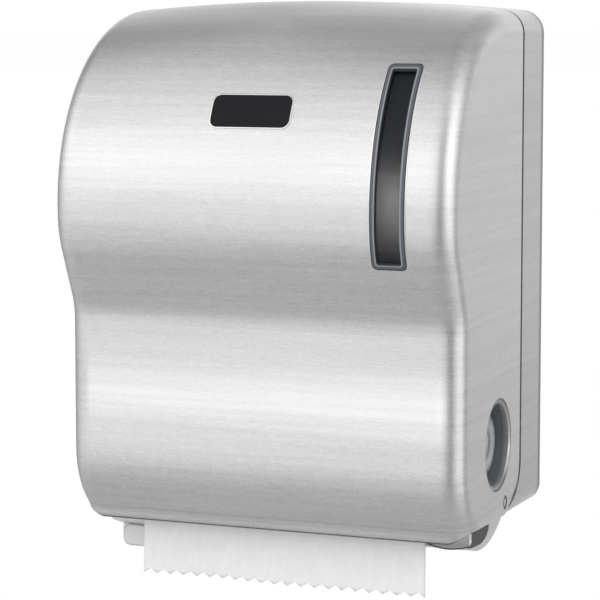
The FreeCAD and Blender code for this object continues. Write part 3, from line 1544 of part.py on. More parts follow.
brackets = []
arm_pins = []
for side, word in ((-1, "left"), (1, "right")):
    low, high = both_ways(side, arm_offset, arm_offset + arm_wall)
    plate = side_plate(
        f"{word}_arm_blade",
        low,
        arm_wall,
        [
            (-arm_pin_reach, arm_low),
            (-arm_pin_reach, arm_high),
            (-roll_reach, level(arm_depth) + arm_tip),
            (-roll_reach - arm_tip, level(arm_depth)),
            (-roll_reach, level(arm_depth) - arm_tip),
        ],
        {2: (arm_tip, 1), 3: (arm_tip, 1)},
    )
    knuckle = upright_bar(f"{word}_knuckle", knuckle_radius, arm_middle * side, arm_pin_reach, arm_low, arm_high)
    low, high = both_ways(side, hub_tip + hub_wall + side_gap, arm_offset)
    axle = round_bar(f"{word}_axle", axle_radius, low, high, roll_reach, arm_depth)
    solid_arm = fused(f"{word}_solid_arm", [plate, knuckle, axle])
    bore = upright_bar(
        f"{word}_knuckle_bore",
        arm_pin_radius + running_fit,
        arm_middle * side,
        arm_pin_reach,
        arm_low,
        arm_high,
    )
    keep(f"{word}_roll_arm", cut_away(f"{word}_roll_arm", solid_arm, [bore]))
    hub_points = [
        (arm_offset - side_gap, axle_radius + running_fit),
        (arm_offset - side_gap, hub_radius),
        (hub_straight, hub_radius),
        (hub_tip, hub_tip_radius),
        (hub_tip, 0),
        (hub_tip + hub_wall, 0),
        (hub_tip + hub_wall, axle_radius + running_fit),
    ]
    if side < 0:
        hub_points = [(-of(across), radius) for across, radius in hub_points]
    keep(f"{word}_core_hub", turned_body(f"{word}_core_hub", hub_points, roll_reach, arm_depth))
    low, high = both_ways(side, arm_middle - bracket_half, arm_middle + bracket_half)
    lug_top = arm_high + side_gap
    lug_bottom = arm_low - side_gap
    base = block(
        f"{word}_bracket_base",
        low,
        high,
        sheet_wall,
        sheet_wall + bracket_wall,
        lug_bottom - lug_wall,
        lug_top + lug_wall,
    )
    low, high = both_ways(side, arm_middle - lug_half, arm_middle + lug_half)
    upper = block(f"{word}_upper_lug", low, high, sheet_wall, lug_reach, lug_top, lug_top + lug_wall)
    lower = block(f"{word}_lower_lug", low, high, sheet_wall, lug_reach, lug_bottom - lug_wall, lug_bottom)
    solid_bracket = fused(f"{word}_solid_bracket", [base, upper, lower])
    holes = [
        upright_bar(
            f"{word}_pin_hole",
            arm_pin_radius,
            arm_middle * side,
            arm_pin_reach,
            lug_bottom - lug_wall,
            lug_top + lug_wall,
        )
    ]
    for number, across in enumerate((arm_middle - bracket_screw, arm_middle + bracket_screw)):
        holes.append(
            bar_along_y(
                f"{word}_bracket_hole_{number}",
                screw_radius,
                across * side,
                sheet_wall,
                sheet_wall + bracket_wall,
                level(arm_depth),
            )
        )
    brackets.append(cut_away(f"{word}_arm_bracket", solid_bracket, holes))
    arm_pins.append(
        upright_bar(
            f"{word}_arm_pin",
            arm_pin_radius,
            arm_middle * side,
            arm_pin_reach,
            lug_bottom - lug_wall,
            lug_top + lug_wall,
        )
    )
group("arm_brackets", brackets)
group("arm_pins", arm_pins)

# The towel between roll and torn edge
tail_depth = size("tail_depth", 350, "where the towel hangs free below the top")
tail_end_depth = size("tail_end_depth", 408, "tips of the torn edge below the top")
web_inner = grip_radius + web_gap
web_outer = web_inner + web_wall
roll_clear = roll_radius + web_gap
axis_gap = root((roll_reach - port_reach) * (roll_reach - port_reach) + (port_depth - arm_depth) * (port_depth - arm_depth))
lean = arc_sine((roll_reach - port_reach) / axis_gap)
crossing = arc_sine((roll_clear + web_outer) / axis_gap)
web_turn = 180 - crossing + lean


def from_roll(radius, angle):
    return (radius * cosine(angle) - roll_reach, level(arm_depth) + radius * sine(angle))


towel_web = new_body("towel_web")
web_side = new_sketch(towel_web, "web_side", "YZ_Plane")
draw_outline(
    web_side,
    [
        from_roll(roll_clear, -(crossing - lean)),
        track_spot(web_outer, web_turn),
        track_spot(web_outer, 180),
        (-port_reach - web_outer, level(tail_depth)),
        (-port_reach - web_inner, level(tail_depth)),
        track_spot(web_inner, 180),
        track_spot(web_inner, web_turn),
        from_roll(roll_clear + web_wall, -(crossing - lean)),
    ],
    {1: (web_outer, 1), 5: (web_inner, -1)},
)
pad(towel_web, web_side, web_half * 2, both=True)
tail = new_sketch(towel_web, "tail", "XZ_Plane", port_reach + web_inner)
tail_corners = [(web_half, level(tail_depth)), (-web_half, level(tail_depth))]
tail_pitch = web_half * 2 / tooth_count
for number in range(tooth_count):
    start = tail_pitch * number - web_half
    tail_corners.append((start, level(tail_end_depth) + tooth_fall))
    tail_corners.append((start + tail_pitch / 2, level(tail_end_depth)))
tail_corners.append((web_half, level(tail_end_depth) + tooth_fall))
draw_outline(tail, tail_corners)
pad(towel_web, tail, web_wall)
keep("towel_web", towel_web)

# Lock of the cover
barrel_depth = size("barrel_depth", 14, "lower end of the barrel below the top")
plug_radius = size("plug_radius", 5, "lock plug")
plug_depth = size("plug_depth", 18, "lower end of the plug below the top")
key_slot = size("key_slot", 2, "key slot")
key_slot_length = size("key_slot_length", 6, "length of the key slot")
cam_wall = size("cam_wall", 2.5, "lock cam")
cam_length = size("cam_length", 20, "tip of the lock cam from the lock axis")
cam_half = size("cam_half", 5, "half the width of the lock cam")
keeper_low = size("keeper_low", 10, "left side of the keeper from the middle")
keeper_high = size("keeper_high", 22, "right side of the keeper from the middle")
keeper_wall = size("keeper_wall", 2, "keeper")
keeper_plate_depth = size("keeper_plate_depth", 13, "level part of the keeper below the top")
keeper_near = size("keeper_near", 33, "rear of the keeper from the wall")
keeper_far = size("keeper_far", 80, "front of the keeper from the wall")
keeper_foot = size("keeper_foot", 8, "foot of the keeper under the housing's top")
keeper_end_depth = size("keeper_end_depth", 22, "lower edge of the keeper's tab below the top")
barrel_outside = upright_bar(
    "barrel_outside",
    barrel_radius,
    0,
    lock_reach,
    level(barrel_depth),
    level(0.1),
)
barrel_inside = upright_bar("barrel_inside", plug_radius + running_fit, 0, lock_reach, level(barrel_depth), level(0))
keep("lock_barrel", cut_away("lock_barrel", barrel_outside, [barrel_inside]))
plug_body = upright_bar("plug_body", plug_radius, 0, lock_reach, level(plug_depth), level(0.5))
slot_cut = block(
    "slot_cut",
    -key_slot / 2,
    key_slot / 2,
    lock_reach - key_slot_length / 2,
    lock_reach + key_slot_length / 2,
    level(barrel_depth / 2),
    level(0),
)
keep("lock_plug", cut_away("lock_plug", plug_body, [slot_cut]))
cam_plate = new_body("lock_cam")
cam_face = new_sketch(cam_plate, "cam_face", "XY_Plane", level(plug_depth))
draw_outline(
    cam_face,
    [
        (cam_half, -lock_reach),
        (cam_half, cam_length - cam_half - lock_reach),
        (0, cam_length - lock_reach),
        (-cam_half, cam_length - cam_half - lock_reach),
        (-cam_half, -lock_reach),
        (0, -lock_reach - cam_half),
    ],
    {1: (cam_half, 1), 2: (cam_half, 1), 4: (cam_half, 1), 5: (cam_half, 1)},
)
pad(cam_plate, cam_face, cam_wall, back=True)
keep("lock_cam", cam_plate)
keeper = new_body("lock_keeper")
keeper_side = new_sketch(keeper, "keeper_side", "YZ_Plane", keeper_low)
foot_depth = sheet_wall + rim_gap
plate_low = level(keeper_plate_depth) - keeper_wall
draw_outline(
    keeper_side,
    [
        (-keeper_near, level(foot_depth)),
        (-keeper_near - keeper_foot, level(foot_depth)),
        (-keeper_near - keeper_foot, level(foot_depth) - keeper_wall),
        (-keeper_near - keeper_wall, level(foot_depth) - keeper_wall),
        (-keeper_near - keeper_wall, level(keeper_plate_depth)),
        (-keeper_far, level(keeper_plate_depth)),
        (-keeper_far, level(keeper_end_depth)),
        (-keeper_far + keeper_wall, level(keeper_end_depth)),
        (-keeper_far + keeper_wall, plate_low),
        (-keeper_near, plate_low),
    ],
)
pad(keeper, keeper_side, keeper_high - keeper_low)
keep("lock_keeper", keeper)

doc.recompute()
failed = []
for thing in doc.Objects:
    if "Invalid" in thing.State or "Error" in thing.State:
        failed.append(thing.Name)
for label, thing in subparts.items():
    if thing.Shape.isNull() or not thing.Shape.isValid():
        failed.append(label)
if failed:
    raise SystemExit("These did not build: " + ", ".join(failed))

os.makedirs("parts", exist_ok=True)
for label, thing in subparts.items():
    thing.Shape.exportStep(f"parts/{label}.step")
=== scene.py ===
import math

import bmesh
import bpy
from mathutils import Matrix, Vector


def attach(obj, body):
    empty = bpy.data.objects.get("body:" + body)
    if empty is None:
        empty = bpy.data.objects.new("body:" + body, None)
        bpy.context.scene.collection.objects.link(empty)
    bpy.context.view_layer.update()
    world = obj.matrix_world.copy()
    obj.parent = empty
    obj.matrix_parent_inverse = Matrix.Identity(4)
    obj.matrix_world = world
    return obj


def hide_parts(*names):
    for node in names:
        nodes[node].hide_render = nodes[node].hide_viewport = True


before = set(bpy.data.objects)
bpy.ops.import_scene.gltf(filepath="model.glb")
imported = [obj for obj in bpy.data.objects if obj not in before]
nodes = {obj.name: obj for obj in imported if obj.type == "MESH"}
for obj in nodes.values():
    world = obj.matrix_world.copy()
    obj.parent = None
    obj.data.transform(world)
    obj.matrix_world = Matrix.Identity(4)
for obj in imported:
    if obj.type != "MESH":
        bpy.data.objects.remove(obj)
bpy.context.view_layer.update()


# Small helpers

def mm(value):
    """Metres from millimetres."""
    return value * 0.001


def grey(level):
    """A neutral colour."""
    return (level, level, level, 1.0)


def add(tree, kind, inputs=None, **settings):
    """A node of a tree, with its settings, and with a value or a link for each input named or numbered."""
    node = tree.nodes.new(kind)
    for name, value in settings.items():
        setattr(node, name, value)
    for name, value in (inputs or {}).items():
        socket = node.inputs[name]
        if isinstance(value, bpy.types.NodeSocket):
            tree.links.new(value, socket)
        else:
            socket.default_value = value
    return node


def maths(tree, operation, first, second=0.0):
    return add(tree, "ShaderNodeMath", {0: first, 1: second}, operation=operation).outputs[0]


def times(tree, first, *others):
    """The product of values."""
    for other in others:
        first = maths(tree, "MULTIPLY", first, other)
    return first


def part(tree, vector, axis):
    """One axis of a vector."""
    return add(tree, "ShaderNodeSeparateXYZ", {0: vector}).outputs[axis]


def stretched(tree, vector, scale):
    """Coordinates scaled along each axis, so that a small scale draws a pattern out."""
    return add(tree, "ShaderNodeMapping", {"Vector": vector, "Scale": scale}).outputs[0]


def noise(tree, vector, scale, detail=3.0, roughness=0.6):
    inputs = {"Vector": vector, "Scale": scale, "Detail": detail, "Roughness": roughness}
    return add(tree, "ShaderNodeTexNoise", inputs).outputs["Fac"]


def spread(tree, value, low, high, to_low, to_high):
    """A value carried from one range to another, without going past its ends."""
    return add(tree, "ShaderNodeMapRange", {0: value, 1: low, 2: high, 3: to_low, 4: to_high}).outputs[0]


def between(tree, factor, first, second):
    """A value between two."""
    return add(tree, "ShaderNodeMix", {0: factor, 2: first, 3: second}).outputs[0]


def blend(tree, factor, first, second):
    """A colour between two."""
    return add(tree, "ShaderNodeMix", {0: factor, 6: first, 7: second}, data_type="RGBA").outputs[2]


# Surface effects that several materials share

def effect(name, inputs, outputs):
    """An empty node group with the named inputs and outputs."""
    tree = bpy.data.node_groups.new(name, "ShaderNodeTree")
    for label, kind, value in inputs:
        socket = tree.interface.new_socket(label, in_out="INPUT", socket_type=kind)
        if value is not None:
            socket.default_value = value
    for label in outputs:
        tree.interface.new_socket(label, in_out="OUTPUT", socket_type="NodeSocketFloat")
    return tree, add(tree, "NodeGroupInput"), add(tree, "NodeGroupOutput")


# Each pair is the stretch on upright faces and on the top
BRUSH_SHORT = ((0.09, 0.09, 1.0), (0.09, 1.0, 0.09))
BRUSH_LONG = ((0.02, 0.02, 1.0), (0.02, 1.0, 0.02))
SPECK_SHARE = 0.5
BAND_FINENESS = 0.18


def brush_lines():
    """Lines of a brushed sheet: level on upright faces and from side to side on the top."""
    tree, given, result = effect(
        "brush_lines",
        [
            ("Place", "NodeSocketVector", None),
            ("Facing", "NodeSocketVector", None),
            ("Fineness", "NodeSocketFloat", 1300.0),
        ],
        ["Lines", "Bands"],
    )
    place, fineness = given.outputs["Place"], given.outputs["Fineness"]
    steepness = maths(tree, "ABSOLUTE", part(tree, given.outputs["Facing"], "Z"))
    on_top = spread(tree, steepness, 0.75, 0.95, 0.0, 1.0)
    specks = noise(tree, place, fineness, 1.0, 0.5)
    coarse = times(tree, fineness, BAND_FINENESS)
    parts = []
    for short, long in zip(BRUSH_SHORT, BRUSH_LONG):
        lines = noise(tree, stretched(tree, place, short), fineness, 4.0, 0.7)
        bands = noise(tree, stretched(tree, place, long), coarse, 2.0, 0.5)
        parts.append((between(tree, SPECK_SHARE, lines, specks), bands))
    for label, upright, level in zip(("Lines", "Bands"), *parts):
        tree.links.new(between(tree, on_top, upright, level), result.inputs[label])
    return tree


def moulded_grain():
    """The fine even grain of moulded plastic, and the slow unevenness of its gloss."""
    tree, given, result = effect(
        "moulded_grain",
        [("Place", "NodeSocketVector", None), ("Fineness", "NodeSocketFloat", 1400.0)],
        ["Grain", "Cloud"],
    )
    grain = noise(tree, given.outputs["Place"], given.outputs["Fineness"], 2.0, 0.5)
    cloud = noise(tree, given.outputs["Place"], 26.0, 3.0, 0.55)
    tree.links.new(grain, result.inputs["Grain"])
    tree.links.new(cloud, result.inputs["Cloud"])
    return tree


def turning_marks():
    """Rings that a lathe leaves round an axis along X."""
    tree, given, result = effect(
        "turning_marks",
        [("Place", "NodeSocketVector", None), ("Fineness", "NodeSocketFloat", 1600.0)],
        ["Rings"],
    )
    squeezed = stretched(tree, given.outputs["Place"], (1.0, 0.02, 0.02))
    rings = noise(tree, squeezed, given.outputs["Fineness"], 3.0, 0.6)
    tree.links.new(rings, result.inputs["Rings"])
    return tree


def handling():
    """Faint wiped patches, where hands and cloths change the gloss."""
    tree, given, result = effect("handling", [("Place", "NodeSocketVector", None)], ["Patches"])
    wide = noise(tree, stretched(tree, given.outputs["Place"], (1.0, 1.0, 1.6)), 14.0, 4.0, 0.6)
    tree.links.new(spread(tree, wide, 0.35, 0.7, 0.0, 1.0), result.inputs["Patches"])
    return tree


BRUSH = brush_lines()
GRAIN = moulded_grain()
TURNING = turning_marks()
HANDLING = handling()


def new_material(name, **fixed):
    """A material with its shader, and the values that are the same all over its surface."""
    material = bpy.data.materials.new(name)
    material.use_nodes = True
    tree = material.node_tree
    shader = tree.nodes["Principled BSDF"]
    for label, value in fixed.items():
        shader.inputs[label.replace("_", " ")].default_value = value
    where = add(tree, "ShaderNodeTexCoord")
    return material, tree, shader, where


def place_effect(tree, group, **inputs):
    """The outputs of a shared effect placed in a material."""
    return add(tree, "ShaderNodeGroup", inputs, node_tree=group).outputs


def feed(tree, shader, **inputs):
    """Links the values that change over the surface to the shader."""
    for label, value in inputs.items():
        tree.links.new(value, shader.inputs[label.replace("_", " ")])


def bump(tree, shader, height, strength, depth):
    """Relief of the given depth in metres."""
    node = add(tree, "ShaderNodeBump", {"Strength": strength, "Distance": depth, "Height": height})
    feed(tree, shader, Normal=node.outputs["Normal"])


# Materials

STEEL_DARK = 0.550
STEEL_PALE = 0.728
STEEL_BANDS = 0.22
HOUSING_TONE = 0.86
# Painted shade towards the wall: where it starts, where it is full, and its tone
REAR_EDGE_START = mm(-7.5)
REAR_EDGE_FULL = mm(-5.25)
REAR_SHADE_TONE = 0.25


def brushed_stainless(name="brushed_stainless", tone_share=1.0, painted_rear_shade=False):
    """Brushed sheet. It can darken towards the wall in painted shade, but not on the face that lies on it."""
    material, tree, shader, where = new_material(
        name, Metallic=1.0, Anisotropic=0.6, Anisotropic_Rotation=0.25
    )
    place, facing = where.outputs["Object"], where.outputs["Normal"]
    brush = place_effect(tree, BRUSH, Place=place, Facing=facing)
    patches = place_effect(tree, HANDLING, Place=place)["Patches"]
    tone = between(tree, STEEL_BANDS, brush["Lines"], brush["Bands"])
    dark, pale = grey(STEEL_DARK * tone_share), grey(STEEL_PALE * tone_share)
    colour = blend(tree, spread(tree, tone, 0.37, 0.63, 0.0, 1.0), dark, pale)
    # Painted shade: the sheet darkens close to the wall, where shade falls between housing and wall
    if painted_rear_shade:
        near_wall = spread(tree, part(tree, place, "Y"), REAR_EDGE_START, REAR_EDGE_FULL, 0.0, 1.0)
        off_wall = spread(tree, part(tree, facing, "Y"), 0.6, 0.9, 1.0, 0.0)
        colour = blend(tree, times(tree, near_wall, off_wall), colour, grey(REAR_SHADE_TONE))
    gloss = spread(tree, brush["Lines"], 0.32, 0.68, 0.26, 0.40)
    gloss = maths(tree, "ADD", gloss, times(tree, patches, 0.03))
    along = add(tree, "ShaderNodeTangent", direction_type="RADIAL", axis="Z").outputs[0]
    feed(tree, shader, Base_Color=colour, Roughness=gloss, Tangent=along)
    bump(tree, shader, brush["Lines"], 0.25, mm(0.03))
    return material


def bright_steel():
    material, tree, shader, where = new_material("bright_steel", Metallic=1.0, Base_Color=grey(0.72))
    rings = place_effect(tree, TURNING, Place=where.outputs["Object"])["Rings"]
    feed(tree, shader, Roughness=spread(tree, rings, 0.3, 0.7, 0.14, 0.30))
    bump(tree, shader, rings, 0.2, mm(0.02))
    return material


def zinc_plate():
    """Plated sheet, whose crystals differ a little in tone."""
    material, tree, shader, where = new_material("zinc_plate", Metallic=1.0)
    spangle = add(tree, "ShaderNodeTexVoronoi", {"Vector": where.outputs["Object"], "Scale": 420.0})
    tint = add(tree, "ShaderNodeSeparateColor", {0: spangle.outputs["Color"]}).outputs[0]
    colour = blend(tree, tint, (0.54, 0.55, 0.56, 1), (0.64, 0.65, 0.68, 1))
    patches = place_effect(tree, HANDLING, Place=where.outputs["Object"])["Patches"]
    feed(tree, shader, Base_Color=colour, Roughness=spread(tree, patches, 0.0, 1.0, 0.30, 0.46))
    return material


def spring_wire():
    """The springs are plain tubes in the solids, so coarse rings stand for their turns."""
    material, tree, shader, where = new_material("spring_wire", Metallic=1.0, Base_Color=grey(0.5))
    rings = place_effect(tree, TURNING, Place=where.outputs["Object"], Fineness=700.0)["Rings"]
    feed(tree, shader, Roughness=spread(tree, rings, 0.3, 0.7, 0.25, 0.5))
    bump(tree, shader, rings, 0.5, mm(0.25))
    return material


def brass():
    material, tree, shader, where = new_material("brass", Metallic=1.0, Base_Color=(0.62, 0.46, 0.20, 1))
    patches = place_effect(tree, HANDLING, Place=where.outputs["Object"])["Patches"]
    feed(tree, shader, Roughness=spread(tree, patches, 0.0, 1.0, 0.22, 0.38))
    return material


def plastic(name, dark, pale, gloss, relief, fineness=1400.0, **fixed):
    """A moulded plastic whose colour and gloss are a little uneven."""
    material, tree, shader, where = new_material(name, **fixed)
    surface = place_effect(tree, GRAIN, Place=where.outputs["Object"], Fineness=fineness)
    colour = blend(tree, surface["Cloud"], dark, pale)
    uneven = spread(tree, surface["Cloud"], 0.3, 0.7, gloss - 0.05, gloss + 0.06)
    feed(tree, shader, Base_Color=colour, Roughness=uneven)
    bump(tree, shader, surface["Grain"], 0.3, relief)
    return material


def smoked_pane():
    material, tree, shader, where = new_material(
        "smoked_pane", IOR=1.49, Specular_IOR_Level=0.24, Alpha=0.55
    )
    patches = place_effect(tree, HANDLING, Place=where.outputs["Object"])["Patches"]
    colour = blend(tree, patches, (0.008, 0.010, 0.014, 1), (0.012, 0.015, 0.020, 1))
    feed(tree, shader, Base_Color=colour, Roughness=spread(tree, patches, 0.0, 1.0, 0.06, 0.14))
    return material


TISSUE_DIM_SHARE = 0.93
TISSUE_SHADE_REACH = mm(18)
TISSUE_SHADE_TONE = 0.3


def tissue(name, pale, relief):
    """Soft creped paper: fine wrinkles, fibres that vary its tone, and shade close to other pieces."""
    material, tree, shader, where = new_material(
        name, Roughness=0.92, Sheen_Weight=0.12, Sheen_Roughness=0.6
    )
    place = where.outputs["Object"]
    crepe = noise(tree, stretched(tree, place, (0.35, 1.0, 1.0)), 900.0, 3.0, 0.6)
    fibres = noise(tree, stretched(tree, place, (1.0, 0.6, 0.45)), 170.0, 4.0, 0.62)
    dim = tuple(TISSUE_DIM_SHARE * level for level in pale[:3]) + (1.0,)
    colour = blend(tree, spread(tree, fibres, 0.3, 0.7, 0.0, 1.0), dim, pale)
    nearby = add(tree, "ShaderNodeAmbientOcclusion", {"Distance": TISSUE_SHADE_REACH}, samples=8)
    open_share = spread(tree, nearby.outputs["AO"], 0.35, 0.9, 0.0, 1.0)
    feed(tree, shader, Base_Color=blend(tree, open_share, grey(TISSUE_SHADE_TONE), colour))
    bump(tree, shader, maths(tree, "ADD", times(tree, crepe, 0.5), fibres), 0.5, relief)
    return material


def core_board():
    material, tree, shader, where = new_material("core_board", Roughness=0.85)
    fibres = noise(tree, where.outputs["Object"], 500.0, 4.0, 0.6)
    feed(tree, shader, Base_Color=blend(tree, fibres, (0.34, 0.25, 0.16, 1), (0.50, 0.39, 0.26, 1)))
    bump(tree, shader, fibres, 0.4, mm(0.15))
    return material


# The finish of each CAD material slot. A plastic has its dark and pale tone, its gloss and its relief.
FINISHES = {
    "stainless": brushed_stainless(),
    "bright_steel": bright_steel(),
    "zinc_steel": zinc_plate(),
    "spring_steel": spring_wire(),
    "brass": brass(),
    "dark_plastic": plastic("dark_plastic", (0.035, 0.04, 0.048, 1), (0.05, 0.056, 0.066, 1), 0.42, mm(0.03)),
    "grey_plastic": plastic("grey_plastic", (0.50, 0.51, 0.51, 1), (0.56, 0.57, 0.57, 1), 0.48, mm(0.03)),
    "white_plastic": plastic("white_plastic", (0.70, 0.71, 0.72, 1), (0.76, 0.77, 0.78, 1), 0.22, mm(0.012)),
    "rubber": plastic("rubber", grey(0.028), grey(0.05), 0.78, mm(0.06), 800.0),
    "smoked_pane": smoked_pane(),
    "paper": tissue("tissue", (0.93, 0.925, 0.92, 1), mm(0.12)),
    "board": core_board(),
}

# Painted shade: a darker steel for the hem's turned-under end
FOLD_SHADE = plastic(
    "fold_shade", (0.15, 0.15, 0.155, 1), (0.19, 0.19, 0.195, 1), 0.5, mm(0.01), Metallic=1.0
)
# The bezel's walls are darker as painted shade and its bead lighter as a painted highlight
BEZEL_WALL_SHADE = plastic("bezel_wall_shade", (0.020, 0.023, 0.029, 1), (0.028, 0.032, 0.038, 1), 0.45, mm(0.02))
BEZEL_SLOPE = plastic("bezel_slope", (0.085, 0.096, 0.110, 1), (0.105, 0.117, 0.133, 1), 0.42, mm(0.02))
BEZEL_BEAD_HIGHLIGHT = plastic("bezel_bead_highlight", (0.25, 0.26, 0.275, 1), (0.29, 0.30, 0.315, 1), 0.34, mm(0.02))
BADGE_FACE = plastic(
    "badge_face",
    (0.006, 0.0065, 0.008, 1),
    (0.010, 0.0105, 0.012, 1),
    0.34,
    mm(0.008),
    Specular_IOR_Level=0.15,
)
WHEEL_FACE = plastic(
    "wheel_face",
    (0.27, 0.28, 0.29, 1),
    (0.33, 0.34, 0.35, 1),
    0.26,
    mm(0.01),
    Coat_Weight=1.0,
    Coat_Roughness=0.12,
)
LIP_PALE = plastic("lip_pale", (0.50, 0.50, 0.51, 1), (0.57, 0.57, 0.58, 1), 0.24, mm(0.02))
TAB_PALE = plastic("tab_pale", (0.72, 0.72, 0.73, 1), (0.78, 0.78, 0.79, 1), 0.24, mm(0.02))
LIP_GLOSS = plastic(
    "lip_gloss", (0.36, 0.36, 0.37, 1), (0.46, 0.46, 0.47, 1), 0.2, mm(0.01), Metallic=0.5, Coat_Weight=0.8
)
# Painted shade for the lips' edges and the cheek's hollow
LIP_SHADE = plastic(
    "lip_shade", (0.03, 0.032, 0.035, 1), (0.045, 0.047, 0.05, 1), 0.4, mm(0.02), Specular_IOR_Level=0.25
)
# White for a painted highlight at the right lip's end, and for a span of the left lip
LIP_WHITE = plastic("lip_white", (0.88, 0.88, 0.89, 1), (0.92, 0.92, 0.93, 1), 0.3, mm(0.01))
PORT_GREY = plastic("port_grey", (0.13, 0.14, 0.15, 1), (0.17, 0.18, 0.19, 1), 0.34, mm(0.02))
CUP = plastic("cup_plastic", (0.125, 0.140, 0.158, 1), (0.155, 0.170, 0.190, 1), 0.40, mm(0.03))

# CAD nodes that differ from the usual finish of their slot
SPECIAL = {
    "wheel_guard": CUP,
    "chin_guide": LIP_PALE,
    "seam_rim": PORT_GREY,
    "rear_housing": brushed_stainless("housing_stainless", HOUSING_TONE, painted_rear_shade=True),
}


def finish_nodes():
    """Gives every CAD node the finish of its material slot, or its own."""
    for name, node in nodes.items():
        for slot in node.material_slots:
            slot.material = SPECIAL.get(name, FINISHES[slot.material.name])


# The front of the cover, as the part's source draws it

HALF_WIDTH = mm(145)
TOP_DROP = mm(8)
BULGE_RADIUS = mm(142)
BULGE_REACH = mm(230)
BULGE_LEVEL = mm(-7)
BULGE_TAIL = mm(10)
SHOULDER_RADIUS = mm(70)
SLOPE = math.radians(25)
WAIST_RADIUS = mm(35)
WAIST_REACH = mm(204.5)
SLOPE_STEP = mm(0.2)


def front_reach(across, height):
    """How far the cover's outside stands from the wall at a place seen from the front, down to the waist."""
    radius = BULGE_RADIUS - TOP_DROP * (across / HALF_WIDTH) ** 2
    middle = BULGE_REACH - radius
    below = BULGE_LEVEL - height
    if below <= BULGE_TAIL:
        return middle + math.sqrt(radius ** 2 - below ** 2)
    turned = math.asin(BULGE_TAIL / radius)
    inner = radius - SHOULDER_RADIUS
    centre_reach = middle + inner * math.cos(turned)
    centre_below = inner * math.sin(turned)
    slope_below = centre_below + SHOULDER_RADIUS * math.sin(SLOPE)
    if below <= slope_below:
        return centre_reach + math.sqrt(SHOULDER_RADIUS ** 2 - (below - centre_below) ** 2)
    slope_reach = centre_reach + SHOULDER_RADIUS * math.cos(SLOPE)
    waist_start = WAIST_REACH + WAIST_RADIUS * (1 - math.cos(SLOPE))
    sloped = slope_reach - (below - slope_below) * math.tan(SLOPE)
    return max(sloped, waist_start)


def front_place(across, height, proud):
    """The point of the cover's front seen at that place, moved outwards by proud."""
    step = SLOPE_STEP
    reach = front_reach(across, height)
    rise = (front_reach(across, height + step) - front_reach(across, height - step)) / (2 * step)
    turn = (front_reach(across + step, height) - front_reach(across - step, height)) / (2 * step)
    outwards = Vector((-turn, -1.0, -rise)).normalized()
    return Vector((across, -reach, height)) + outwards * proud


# Making pieces

TURN_STEPS = 96
WELD = mm(0.01)


def rounded_plate(bm, low, high, corner, segments):
    """A flat face with rounded corners in the plane of X and Z."""
    before = set(bm.faces)
    corners = [(low[0], low[1]), (high[0], low[1]), (high[0], high[1]), (low[0], high[1])]
    verts = [bm.verts.new((x, 0, z)) for x, z in corners]
    bm.faces.new(verts)
    bmesh.ops.bevel(
        bm, geom=verts, offset=corner, affect="VERTICES", segments=segments, profile=0.5, material=-1
    )
    return next(face for face in bm.faces if face not in before)


def look_to_front(bm):
    """Turns an open sheet's faces to the front."""
    bm.normal_update()
    if sum(face.normal.y * face.calc_area() for face in bm.faces) > 0:
        bmesh.ops.reverse_faces(bm, faces=bm.faces[:])


def nested_outlines(bm, low, high, rows, segments, closed):
    """Rounded outlines one inside the next, joined by bands and facing the front.

    A row is its inset, how far it stands out, its corner, and the material of the band that ends at it.
    """
    outer = []
    for row in rows:
        inset, proud, corner, material = row
        inner_low = (low[0] + inset, low[1] + inset)
        inner_high = (high[0] - inset, high[1] - inset)
        face = rounded_plate(bm, inner_low, inner_high, corner, segments)
        bmesh.ops.translate(bm, verts=face.verts[:], vec=(0, -proud, 0))
        outline = face.edges[:]
        if outer:
            for band in bmesh.ops.bridge_loops(bm, edges=outer + outline)["faces"]:
                band.material_index = material
        outer = outline
        if closed and row is rows[-1]:
            face.material_index = material
        else:
            bmesh.ops.delete(bm, geom=[face], context="FACES_ONLY")
    bmesh.ops.recalc_face_normals(bm, faces=bm.faces[:])
    look_to_front(bm)


def slice_levels(bm, low, high, pitch):
    """Cuts the mesh at even heights, so that it can follow a curved front."""
    count = round((high - low) / pitch)
    for k in range(1, count):
        bmesh.ops.bisect_plane(
            bm,
            geom=bm.verts[:] + bm.edges[:] + bm.faces[:],
            plane_co=(0, 0, low + (high - low) * k / count),
            plane_no=(0, 0, 1),
        )


def lay_on_front(bm):
    """Carries a flat design in X and Z, raised towards the front, on to the cover's curved front."""
    for vert in bm.verts:
        vert.co = front_place(vert.co.x, vert.co.z, -vert.co.y)


def turned_form(section, centre, closed=False):
    """A section of points across and out from a centre, turned right round an axis along X."""
    bm = bmesh.new()
    verts = [bm.verts.new((x, centre[0], centre[1] + radius)) for x, radius in section]
    pairs = list(zip(verts, verts[1:]))
    if closed:
        pairs.append((verts[-1], verts[0]))
    edges = [bm.edges.new(pair) for pair in pairs]
    bmesh.ops.spin(
        bm,
        geom=verts + edges,
        cent=(0, centre[0], centre[1]),
        axis=(1, 0, 0),
        angle=2 * math.pi,
        steps=TURN_STEPS,
        use_merge=True,
    )
    bmesh.ops.remove_doubles(bm, verts=bm.verts, dist=WELD)
    bmesh.ops.recalc_face_normals(bm, faces=bm.faces[:])
    return bm


def finish_piece(name, bm, body, materials, replaces=(), smooth=True, crease=None):
    """Makes the mesh a piece that rides on a body. Its edges stay sharp above the crease, in degrees."""
    mesh = bpy.data.meshes.new(name)
    bm.normal_update()
    bm.to_mesh(mesh)
    bm.free()
    for polygon in mesh.polygons:
        polygon.use_smooth = smooth
    if crease is not None:
        mesh.set_sharp_from_angle(angle=math.radians(crease))
    piece = bpy.data.objects.new(name, mesh)
    bpy.context.scene.collection.objects.link(piece)
    for material in materials:
        mesh.materials.append(material)
    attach(piece, body)
    if replaces:
        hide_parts(*replaces)
    return piece


# The level window

